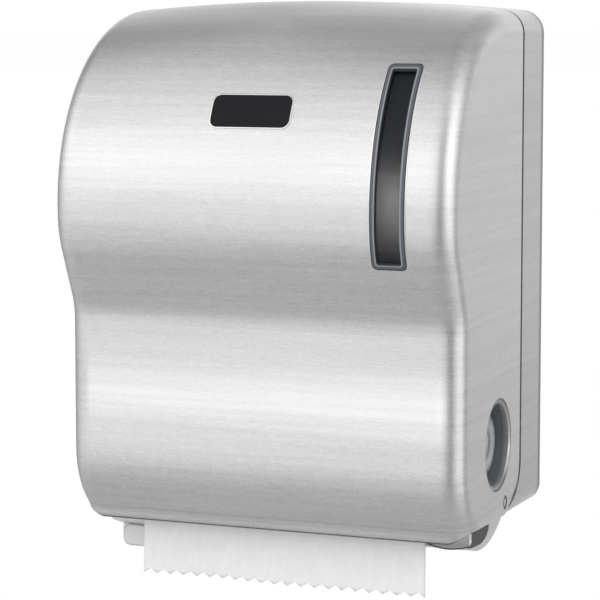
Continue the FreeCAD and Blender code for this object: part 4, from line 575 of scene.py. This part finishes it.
WINDOW_LOW = (mm(89), mm(-42.5))
WINDOW_HIGH = (mm(113), mm(92))
WINDOW_CORNER = mm(3.5)
WINDOW_SLICE = mm(3)
# Material 0 is the walls in painted shade, 1 the slope, 2 the bead in painted highlight
BEZEL_ROWS = (
    (mm(0.0), mm(-0.5), WINDOW_CORNER, 0),
    (mm(0.05), mm(0.3), mm(3.5), 0),
    (mm(0.55), mm(0.45), mm(3.2), 0),
    (mm(2.3), mm(0.6), mm(2.1), 1),
    (mm(2.65), mm(0.85), mm(1.9), 2),
    (mm(3.35), mm(0.85), mm(1.5), 2),
    (mm(3.65), mm(0.5), mm(1.3), 0),
    (mm(4.0), mm(-1.5), mm(1.1), 0),
)
OPENING_ROWS = (
    (mm(-1.1), mm(-0.05), mm(4.6), 0),
    (mm(-0.8), mm(0.2), mm(4.3), 0),
    (mm(-0.2), mm(0.2), mm(3.7), 0),
    (mm(0.0), mm(-0.4), mm(3.5), 0),
)


def window_ring(rows):
    """Bands round the window, laid on the cover's front."""
    bm = bmesh.new()
    nested_outlines(bm, WINDOW_LOW, WINDOW_HIGH, rows, 6, closed=False)
    slice_levels(bm, WINDOW_LOW[1] + WINDOW_CORNER, WINDOW_HIGH[1] - WINDOW_CORNER, WINDOW_SLICE)
    lay_on_front(bm)
    return bm


def window_bezel():
    """The dark frame of the level window: a flat outer slope, a raised bead in painted highlight and a steep
    inner wall, the walls in painted shade.
    """
    materials = (BEZEL_WALL_SHADE, BEZEL_SLOPE, BEZEL_BEAD_HIGHLIGHT)
    bm = window_ring(BEZEL_ROWS)
    finish_piece("window_bezel", bm, "cover", materials, ("window_frame",), crease=40)


def opening_edge():
    """The pressed edge of the cover's sheet round the window."""
    bm = window_ring(OPENING_ROWS)
    finish_piece("window_opening_edge", bm, "cover", (FINISHES["bright_steel"],), crease=60)


# The hem of the cover's lower front

CORNER_RADIUS = mm(17)
LIP_TURN_MIDDLE = (mm(-139.5), mm(-180))
LIP_TURN_RADIUS = mm(65)
HEM_LEVEL = mm(-223.4)
HEM_HOLLOW = mm(11.7)
HEM_HOLLOW_END = 0.42
HEM_ROUND = mm(5.7)
HEM_ROUND_END = 0.87
HEM_STEEPEST = math.radians(12)
HEM_CORNER_SHARE = 0.25
HEM_SIDE_SHARE = 0.28
HEM_FLANGE = mm(4)
HEM_PROUD = mm(0.06)
HEM_COLUMNS = 150
HEM_ROWS = 40
HEM_SHADE_FROM = 0.6


def hem_start(along):
    """Where the hem leaves the cover, its way outwards seen from above, its slope, and how full it is there.

    The place along runs from -1 at the left to 1 at the right, with the corners in its outer parts.
    """
    flat = HALF_WIDTH - CORNER_RADIUS
    front_share = 1 - HEM_CORNER_SHARE
    turn = max(0.0, (abs(along) - front_share) / HEM_CORNER_SHARE) * math.pi / 2
    across = flat * min(1.0, abs(along) / front_share) + CORNER_RADIUS * math.sin(turn)
    radius = LIP_TURN_RADIUS - CORNER_RADIUS * (1 - math.cos(turn))
    below = LIP_TURN_MIDDLE[1] - HEM_LEVEL
    reach = LIP_TURN_MIDDLE[0] - math.sqrt(radius ** 2 - below ** 2)
    lean = math.asin(below / radius)
    sideways = math.copysign(math.sin(turn), along)
    outwards = Vector((sideways, -math.cos(turn) * math.cos(lean), 0)).normalized()
    slope = math.asin(math.cos(turn) * math.sin(lean))
    share = 1 - (1 - HEM_SIDE_SHARE) * (1 - math.cos(turn))
    return Vector((math.copysign(across, along), reach, HEM_LEVEL)), outwards, slope, share


def hem_section(slope, share, way):
    """Way inwards and fall of the hem's section at 0 to 1 along it: hollow, round, then a flat flange."""
    steepest = min(slope, HEM_STEEPEST)
    turned = slope - (slope - steepest) * min(1.0, way / HEM_HOLLOW_END)
    inwards = HEM_HOLLOW * share * (math.cos(turned) - math.cos(slope))
    fall = HEM_HOLLOW * share * (math.sin(slope) - math.sin(turned))
    if way > HEM_HOLLOW_END:
        rounded = min(1.0, (way - HEM_HOLLOW_END) / (HEM_ROUND_END - HEM_HOLLOW_END))
        turned = steepest + (math.pi / 2 - steepest) * rounded
        inwards += HEM_ROUND * share * (math.cos(steepest) - math.cos(turned))
        fall += HEM_ROUND * share * (math.sin(turned) - math.sin(steepest))
    if way > HEM_ROUND_END:
        inwards += HEM_FLANGE * (way - HEM_ROUND_END) / (1 - HEM_ROUND_END)
    return inwards, fall


def cover_hem():
    """The sheet's lower front edge, rolled under in a soft bead from one side to the other, its turned-under
    end darker as painted shade.
    """
    bm = bmesh.new()
    bmesh.ops.create_grid(bm, x_segments=HEM_COLUMNS, y_segments=HEM_ROWS, size=0.5)
    for face in bm.faces:
        # Faces far along the section get the darker steel of painted shade
        face.material_index = int(0.5 - face.calc_center_median().y > HEM_SHADE_FROM)
    for vert in bm.verts:
        start, outwards, slope, share = hem_start(2 * vert.co.x)
        inwards, fall = hem_section(slope, share, 0.5 - vert.co.y)
        vert.co = start + outwards * (HEM_PROUD - inwards) - Vector((0, 0, fall))
    look_to_front(bm)
    finish_piece("cover_hem", bm, "cover", (FINISHES["stainless"], FOLD_SHADE))


# The side port: a liner inside its rolled edge, and the hand wheel

PORT_CENTRE = (mm(-114), mm(-175))
PORT_EDGE_MIDDLE = (mm(140.5), mm(33))
LINER_RADIUS = mm(4.9)
LINER_WALL = (mm(0.35), mm(0.5))
LINER_START = math.radians(46)
LINER_END = math.radians(90)
LINER_STEPS = 12
LINER_INNER = mm(139.4)
LINER_INNER_WALL = mm(0.45)
WHEEL_SECTION = (
    (127.0, 0.0), (127.0, 25.2), (127.8, 25.8), (131.0, 25.8), (133.6, 24.8), (135.6, 22.8), (136.9, 20.0),
    (137.2, 17.2), (136.5, 14.0), (136.0, 10.0), (136.5, 6.4), (137.1, 4.6), (137.1, 0.0),
)


def port_liner():
    """A grey ring that covers the inner half of the port's rolled edge."""
    middle_x, middle_radius = PORT_EDGE_MIDDLE
    ring = []
    for k in range(LINER_STEPS + 1):
        turn = LINER_START + (LINER_END - LINER_START) * k / LINER_STEPS
        ring.append((middle_x + LINER_RADIUS * math.cos(turn), middle_radius - LINER_RADIUS * math.sin(turn)))
    back = [(x - LINER_WALL[0], radius + LINER_WALL[1]) for x, radius in reversed(ring)]
    inner_end = [(LINER_INNER, ring[-1][1]), (LINER_INNER, ring[-1][1] + LINER_INNER_WALL)]
    bm = turned_form(ring + inner_end + back, PORT_CENTRE, closed=True)
    finish_piece("port_liner", bm, "cover", (PORT_GREY,), crease=35)


def hand_wheel():
    """The hand wheel: a domed rim, a shallow ring and a flat middle."""
    bm = turned_form([(mm(x), mm(radius)) for x, radius in WHEEL_SECTION], PORT_CENTRE)
    finish_piece("hand_wheel_dish", bm, "drum", (WHEEL_FACE,), ("hand_wheel",), crease=35)


# The chin guide's lips and cheek, and the release tab

LIP_REACH = mm(-150.4)
LIP_TOP = mm(-231)
LIP_BULGE = mm(1.6)
LIP_FULL_START = 0.15
LIP_THICK = mm(1.2)
LIP_END_RISE = mm(2.5)
LIP_END_SHARE = 0.1
LIP_COLUMNS = 72
LIP_ROWS = 24
# A lip is its left and right end, the level of its lower edge, and how far that edge rises at the ends
RIGHT_LIP = (mm(103), mm(136.6), mm(-243.7), mm(3.6))
# The right lip's painted highlight width, its painted shade along the lower edge, and its shaded left end
RIGHT_LIP_HIGHLIGHT = mm(1.6)
RIGHT_LIP_EDGE_SHADE = mm(0.8)
RIGHT_LIP_SHADED_END = (mm(5), mm(3))
LEFT_LIP = (mm(-138.5), mm(-100), mm(-244.5), mm(3.4))
LEFT_WHITE_SPAN = (mm(-122.8), mm(-110), mm(-243.5))
CHEEK_OUTSIDE = mm(134)
RECESS_SUNK = mm(0.2)
RECESS_THICK = mm(0.5)
RECESS = (
    (-149.6, -229), (-149.6, -242.0), (-140.0, -243.6), (-127.6, -244.6), (-118.0, -245.0), (-110.0, -243.9),
    (-104.0, -241.8), (-100.0, -238.6), (-98.5, -234.0), (-98.2, -229.0),
)
WEB_FRONT = mm(-150)
TAB_TOP = mm(-245.5)
TAB_RAISED = mm(2.4)
TAB_LEFT_PART = mm(-126)
TAB_SHORTER = mm(10.7)
TAB_FRONT = mm(-153.0)
TAB_RIM_LOW = (mm(-126.3), mm(-259.6))
TAB_RIM_HIGH = (mm(-100), mm(-243.6))
# Rows marked 1 are the rim's outer band in a darker plastic, painted shade round the dish
TAB_ROWS = (
    (mm(0.0), mm(0.0), mm(5.6), 1),
    (mm(0.25), mm(0.5), mm(5.4), 1),
    (mm(1.2), mm(0.8), mm(4.8), 1),
    (mm(2.2), mm(0.6), mm(4.2), 0),
    (mm(4.6), mm(0.3), mm(3.0), 0),
)


def chin_lip(name, lip, material, shade_of):
    """A front lip of the chin guide: a bowed lower edge and a full front, with painted shade and white face
    by face.
    """
    left, right, low, rise = lip
    bm = bmesh.new()
    bmesh.ops.create_grid(bm, x_segments=LIP_COLUMNS, y_segments=LIP_ROWS, size=0.5)
    for vert in bm.verts:
        across = (left + right) / 2 + (right - left) * vert.co.x
        way = 0.5 - vert.co.y
        end = abs(2 * vert.co.x)
        bottom = low + rise * end ** 2 + LIP_END_RISE * max(0.0, end - (1 - LIP_END_SHARE)) / LIP_END_SHARE
        full = math.sin(math.pi * min(1.0, LIP_FULL_START + (1 - LIP_FULL_START) * way)) * (1 - end ** 6)
        vert.co = (across, LIP_REACH - LIP_BULGE * full, LIP_TOP + (bottom - LIP_TOP) * way)
    look_to_front(bm)
    for face in bm.faces:
        face.material_index = shade_of(face.calc_center_median())
    bmesh.ops.solidify(bm, geom=bm.faces[:], thickness=LIP_THICK)
    finish_piece(name, bm, "root", (material, LIP_SHADE, LIP_WHITE), crease=50)


def right_lip_shade(spot):
    """Painted highlight in white at the lip's right end, and painted shade along its lower edge and at its
    left end.
    """
    left, right, low, rise = RIGHT_LIP
    edge = low + rise * ((spot.x - (left + right) / 2) / ((right - left) / 2)) ** 2
    if spot.x > right - RIGHT_LIP_HIGHLIGHT:
        return 2
    end_width, end_height = RIGHT_LIP_SHADED_END
    in_end = spot.x < left + end_width and spot.z < edge + end_height
    return int(in_end or spot.z < edge + RIGHT_LIP_EDGE_SHADE)


def left_lip_shade(spot):
    """White across a span of the lip, above a given level."""
    white_left, white_right, white_low = LEFT_WHITE_SPAN
    return 2 if white_left < spot.x < white_right and spot.z > white_low else 0


def cheek_recess_shade():
    """A dark plate on the front of the right cheek: painted shade standing for a hollow."""
    bm = bmesh.new()
    verts = [bm.verts.new((CHEEK_OUTSIDE - RECESS_SUNK, mm(y), mm(z))) for y, z in RECESS]
    face = bm.faces.new(verts)
    raised = bmesh.ops.extrude_face_region(bm, geom=[face])["geom"]
    top = [element for element in raised if isinstance(element, bmesh.types.BMVert)]
    bmesh.ops.translate(bm, verts=top, vec=(RECESS_THICK, 0, 0))
    bmesh.ops.recalc_face_normals(bm, faces=bm.faces[:])
    finish_piece("cheek_recess_shade", bm, "root", (LIP_SHADE,), smooth=False)


def release_tab():
    """The left yoke arm, with its tab made narrower and higher and its web kept behind the chin's lip."""
    arm = nodes["left_yoke_arm"]
    bm = bmesh.new()
    bm.from_mesh(arm.data)
    bm.transform(arm.matrix_world)
    for vert in bm.verts:
        if vert.co.z > TAB_TOP:
            vert.co.y = max(vert.co.y, WEB_FRONT)
        elif vert.co.z < TAB_TOP:
            vert.co.z += TAB_RAISED
            if vert.co.x < TAB_LEFT_PART:
                vert.co.x += TAB_SHORTER
    finish_piece(
        "left_yoke_arm_tab", bm, "yoke", (TAB_PALE,), ("left_yoke_arm",), crease=30
    )


def tab_rim():
    """The raised rim of the tab round its shallow dish, its outer band darker as painted shade."""
    bm = bmesh.new()
    nested_outlines(bm, TAB_RIM_LOW, TAB_RIM_HIGH, TAB_ROWS, 8, closed=True)
    bmesh.ops.translate(bm, verts=bm.verts[:], vec=(0, TAB_FRONT, 0))
    finish_piece("tab_rim", bm, "yoke", (TAB_PALE, LIP_PALE), crease=60)


# The blank badge

BADGE_LOW = (mm(-30.5), mm(48.5))
BADGE_HIGH = (mm(28.5), mm(71.5))
BADGE_SLICE = mm(2)
BADGE_ROWS = (
    (mm(0.0), mm(-0.1), mm(6.0), 0),
    (mm(0.05), mm(0.5), mm(6.0), 0),
    (mm(0.3), mm(0.72), mm(5.8), 0),
    (mm(0.7), mm(0.74), mm(5.4), 0),
    (mm(0.9), mm(0.55), mm(5.2), 0),
    (mm(1.1), mm(0.55), mm(5.0), 1),
)


def badge():
    """A blank dark plate with a thin pale rim, on the cover's bulge."""
    bm = bmesh.new()
    nested_outlines(bm, BADGE_LOW, BADGE_HIGH, BADGE_ROWS, 8, closed=True)
    slice_levels(bm, BADGE_LOW[1], BADGE_HIGH[1], BADGE_SLICE)
    lay_on_front(bm)
    materials = (FINISHES["bright_steel"], BADGE_FACE)
    finish_piece("badge_plate", bm, "cover", materials, crease=40)


# The towel

TOWEL_HALF = mm(106.5)
ROLL_CENTRE = (mm(-120), mm(13))
ROLL_WEB_RADIUS = mm(88.5)
DRUM_CENTRE = PORT_CENTRE
DRUM_WEB_RADIUS = mm(45.5)
TAIL_END = mm(-276.5)
TOWEL_TEETH = 21
TOOTH_FALL = mm(3.2)
TOWEL_THICKNESS = mm(0.3)
LIP_LEVEL = mm(-226)
SWAY = mm(2.2)
SWAY_FORWARDS = 0.5
# Each wave across the towel: its share, its turn per metre and its start, in radians
SWAY_WAVES = ((0.6, 31.0, 0.6), (0.4, 67.0, 2.1))


def towel_stretches():
    """Where the towel leaves the roll, its turn on the drum, and the lengths of its run, wrap and tail."""
    gap = math.dist(ROLL_CENTRE, DRUM_CENTRE)
    lean = math.asin((DRUM_CENTRE[0] - ROLL_CENTRE[0]) / gap)
    crossing = math.asin((ROLL_WEB_RADIUS + DRUM_WEB_RADIUS) / gap)
    turn = crossing - lean
    run = math.sqrt(gap ** 2 - (ROLL_WEB_RADIUS + DRUM_WEB_RADIUS) ** 2)
    leaves = (
        ROLL_CENTRE[0] + ROLL_WEB_RADIUS * math.cos(turn),
        ROLL_CENTRE[1] - ROLL_WEB_RADIUS * math.sin(turn),
    )
    return leaves, turn, run, DRUM_WEB_RADIUS * turn, DRUM_CENTRE[1] - TAIL_END


def towel_spot(along):
    """Reach and height of the towel at a length from where it leaves the roll."""
    leaves, turn, run, wrap, _ = towel_stretches()
    if along < run:
        return leaves[0] - along * math.sin(turn), leaves[1] - along * math.cos(turn)
    if along < run + wrap:
        angle = math.pi - turn + (along - run) / DRUM_WEB_RADIUS
        return (
            DRUM_CENTRE[0] + DRUM_WEB_RADIUS * math.cos(angle),
            DRUM_CENTRE[1] + DRUM_WEB_RADIUS * math.sin(angle),
        )
    return DRUM_CENTRE[0] - DRUM_WEB_RADIUS, DRUM_CENTRE[1] - (along - run - wrap)


def towel_sway(across, height):
    """How far the free end hangs forwards of its plane: nothing above the lip, a few soft waves below."""
    free = max(0.0, (LIP_LEVEL - height) / (LIP_LEVEL - TAIL_END))
    wave = sum(share * math.sin(across * pitch + start) for share, pitch, start in SWAY_WAVES)
    return free ** 1.5 * SWAY * (wave + SWAY_FORWARDS)


def towel():
    """The towel from the roll round the drum to its toothed end."""
    total = sum(towel_stretches()[2:])
    columns = TOWEL_TEETH * 4
    rows = round(total / TOOTH_FALL)
    bm = bmesh.new()
    bmesh.ops.create_grid(bm, x_segments=columns, y_segments=rows, size=0.5)
    sheet_map = bm.loops.layers.uv.new("cut")
    for face in bm.faces:
        for loop in face.loops:
            loop[sheet_map].uv = (loop.vert.co.x * 2 * TOWEL_HALF, loop.vert.co.y * total)
    for vert in bm.verts:
        across = vert.co.x * 2 * TOWEL_HALF
        along = (0.5 - vert.co.y) * total
        reach, height = towel_spot(along)
        if along > total - TOOTH_FALL / 2:
            phase = (vert.co.x + 0.5) * TOWEL_TEETH % 1.0
            height += TOOTH_FALL * (1 - abs(2 * phase - 1))
        vert.co = (across, reach - towel_sway(across, height), height)
    bmesh.ops.recalc_face_normals(bm, faces=bm.faces[:])
    piece = finish_piece("towel_sheet", bm, "root", (FINISHES["paper"],), ("towel_web",))
    thicken = piece.modifiers.new("thickness", "SOLIDIFY")
    thicken.thickness = TOWEL_THICKNESS
    thicken.offset = 0.0


ROLL_RADIUS = mm(88)
ROLL_EDGE = mm(1.2)
ROLL_BORE = mm(21.3)
ROLL_LAYERS = 34
ROLL_RIPPLE = mm(0.35)


def wound_roll():
    """The roll: a smooth outside, softened edges, and ends that show its turns as fine ripples."""
    edge_radius = ROLL_RADIUS - ROLL_EDGE
    eased = ROLL_EDGE * 0.3
    outline = [(TOWEL_HALF - ROLL_EDGE, ROLL_RADIUS), (TOWEL_HALF - eased, ROLL_RADIUS - eased)]
    for k in range(ROLL_LAYERS + 1):
        ripple = ROLL_RIPPLE if k % 2 else 0.0
        outline.append((TOWEL_HALF - ripple, edge_radius - (edge_radius - ROLL_BORE) * k / ROLL_LAYERS))
    left = [(-x, radius) for x, radius in reversed(outline)]
    bm = turned_form(outline + left, ROLL_CENTRE, closed=True)
    finish_piece("towel_roll_wound", bm, "roll", (FINISHES["paper"],), ("towel_roll",), crease=60)


# The room: floor, light from all round, lamps and camera

SKY_TOP = 2.0
# Levels by how steeply a direction rises, from -1 straight down to 1 straight up
SKY_HEIGHTS = (
    (-1.0, 0.5), (-0.6, 0.55), (-0.35, 0.75), (-0.12, 0.9), (0.0, 1.0), (0.17, 1.6), (0.31, 1.9),
    (0.45, 1.7), (0.6, 1.35), (0.75, 1.15), (0.88, 0.95), (0.97, 0.7), (1.0, 0.55),
)
# Levels by the direction seen from above, in degrees: 0 is the front and 90 the right
SKY_SIDES = (
    (-180, 0.97), (-172, 1.0), (-143, 1.0), (-136, 0.40), (-120, 0.42), (-95, 0.7), (-65, 0.95), (-21, 1.0),
    (18, 0.9), (37, 0.42), (51, 0.38), (68, 1.0), (84, 1.4), (104, 1.35), (118, 0.8), (128, 0.5), (140, 0.72),
    (165, 0.72), (180, 0.97),
)
# How steep a direction is where the levels by side give way, and where it lies where the back is dimmed
SKY_STEEP = (0.5, 0.9)
BACK_DEPTH = (-0.2, 0.3)
BACK_RISE = (0.05, 0.35)
BACK_DIMMING = 0.5


def ramp(tree, value, stops):
    """A grey level from a value, through stops of position and level."""
    node = add(tree, "ShaderNodeValToRGB", {0: value})
    elements = node.color_ramp.elements
    while len(elements) < len(stops):
        elements.new(0.5)
    for element, (position, level) in zip(elements, stops):
        element.position = position
        element.color = grey(level)
    return node.outputs["Color"]


def side_level(tree, across, depth):
    """The level of a direction seen from above, as a share of SKY_TOP."""
    turn = maths(tree, "ARCTAN2", across, times(tree, depth, -1.0))
    turned = spread(tree, turn, -math.pi, math.pi, 0.0, 1.0)
    return ramp(tree, turned, [((angle + 180) / 360, level / SKY_TOP) for angle, level in SKY_SIDES])


FLOOR_TONE = 0.63
FLOOR_LEVEL = -1.2
FLOOR_RADIUS = 60.0
FLOOR_NEAR = 1.5
FLOOR_FAR = 3.2
FLOOR_SHADE = 0.24
FLOOR_SHADE_REACH = (5.0, 8.0)


def floor():
    """A pale floor that runs out into plain white, a little dimmer at middle distance on the right."""
    bm = bmesh.new()
    bmesh.ops.create_circle(bm, cap_ends=True, segments=96, radius=FLOOR_RADIUS)
    bmesh.ops.translate(bm, verts=bm.verts, vec=(0, 0, FLOOR_LEVEL))
    mesh = bpy.data.meshes.new("floor")
    bm.to_mesh(mesh)
    bm.free()
    ground = bpy.data.objects.new("floor", mesh)
    bpy.context.scene.collection.objects.link(ground)
    material, tree, shader, where = new_material("pale_floor", Roughness=0.8, Base_Color=grey(FLOOR_TONE))
    flat = add(
        tree, "ShaderNodeVectorMath", {0: where.outputs["Object"], 1: (1, 1, 0)}, operation="MULTIPLY"
    ).outputs[0]
    away = add(tree, "ShaderNodeVectorMath", {0: flat}, operation="LENGTH").outputs["Value"]
    across, depth = part(tree, flat, "X"), part(tree, flat, "Y")
    to_right = spread(tree, across, 0.0, 1.0, 0.0, 1.0)
    shade = times(tree, spread(tree, away, *FLOOR_SHADE_REACH, FLOOR_SHADE, 0.0), to_right)
    level = times(tree, side_level(tree, across, depth), SKY_TOP, maths(tree, "SUBTRACT", 1.0, shade))
    white = add(tree, "ShaderNodeEmission", {"Color": grey(1.0), "Strength": level})
    fade = spread(tree, away, FLOOR_NEAR, FLOOR_FAR, 0.0, 1.0)
    mixed = add(tree, "ShaderNodeMixShader", {0: fade, 1: shader.outputs[0], 2: white.outputs[0]})
    tree.links.new(mixed.outputs[0], tree.nodes["Material Output"].inputs["Surface"])
    mesh.materials.append(material)


def sky():
    """Light from all round: brightest a little above eye level, dimmer at some sides and high behind."""
    world = bpy.data.worlds.new("studio")
    bpy.context.scene.world = world
    world.use_nodes = True
    tree = world.node_tree
    where = add(tree, "ShaderNodeTexCoord")
    way = add(tree, "ShaderNodeSeparateXYZ", {0: where.outputs["Generated"]})
    across, depth, rise = way.outputs
    risen = spread(tree, rise, -1.0, 1.0, 0.0, 1.0)
    by_height = ramp(tree, risen, [((height + 1) / 2, level / SKY_TOP) for height, level in SKY_HEIGHTS])
    steep = spread(tree, maths(tree, "ABSOLUTE", rise), *SKY_STEEP, 0.0, 1.0)
    by_side = between(tree, steep, side_level(tree, across, depth), 1.0 / SKY_TOP)
    behind = spread(tree, depth, *BACK_DEPTH, 0.0, 1.0)
    above = spread(tree, rise, *BACK_RISE, 0.0, 1.0)
    kept = maths(tree, "SUBTRACT", 1.0, times(tree, behind, above, BACK_DIMMING))
    background = tree.nodes["Background"]
    background.inputs["Color"].default_value = grey(1.0)
    tree.links.new(times(tree, by_height, by_side, kept, SKY_TOP ** 2), background.inputs["Strength"])


# Each lamp's name, place, width, height, watts, and the angle that its light opens to in degrees. The
# strip stands before the lower front, whose steel mirrors it. The glow behind the pane lights the roll.
LAMPS = (
    ("low_strip", (-0.03, -0.275, -0.147), 0.5, 0.016, 0.012, 95),
    ("roll_glow", (0.101, -0.2235, -0.005), 0.018, 0.05, 0.006, 180),
)


def lamps():
    """Oblong lamps that shine straight at the wall and don't show themselves."""
    for name, place, width, height, watts, opening in LAMPS:
        lamp = bpy.data.lights.new(name, "AREA")
        lamp.shape = "RECTANGLE"
        lamp.size = width
        lamp.size_y = height
        lamp.energy = watts
        lamp.spread = math.radians(opening)
        thing = bpy.data.objects.new(name, lamp)
        thing.location = place
        thing.rotation_euler = Vector((0, 1, 0)).to_track_quat("-Z", "Y").to_euler()
        thing.visible_camera = False
        bpy.context.scene.collection.objects.link(thing)


CAMERA_PLACE = (0.576829, -1.644634, 0.119772)
CAMERA_TURN = math.radians(20.764)
CAMERA_DIP = math.radians(5.429)
CAMERA_FOCAL_PIXELS = 2292.538
IMAGE_PIXELS = 600
SENSOR = 36.0
CAMERA_SHIFT = -0.10


def camera():
    """The camera of the photograph: its place, turn and focal length."""
    lens = bpy.data.cameras.new("camera")
    lens.sensor_width = SENSOR
    lens.lens = CAMERA_FOCAL_PIXELS / IMAGE_PIXELS * SENSOR
    lens.shift_y = CAMERA_SHIFT
    lens.clip_start = 0.05
    lens.clip_end = 200.0
    thing = bpy.data.objects.new("camera", lens)
    thing.location = CAMERA_PLACE
    thing.rotation_euler = (math.pi / 2 - CAMERA_DIP, 0, CAMERA_TURN)
    bpy.context.scene.collection.objects.link(thing)
    bpy.context.scene.camera = thing


finish_nodes()
wound_roll()
towel()
window_bezel()
opening_edge()
cover_hem()
port_liner()
hand_wheel()
chin_lip("chin_lip_right", RIGHT_LIP, LIP_GLOSS, right_lip_shade)
chin_lip("chin_lip_left", LEFT_LIP, TAB_PALE, left_lip_shade)
cheek_recess_shade()
release_tab()
tab_rim()
badge()
floor()
sky()
lamps()
camera()
bpy.context.scene.view_settings.view_transform = "Standard"
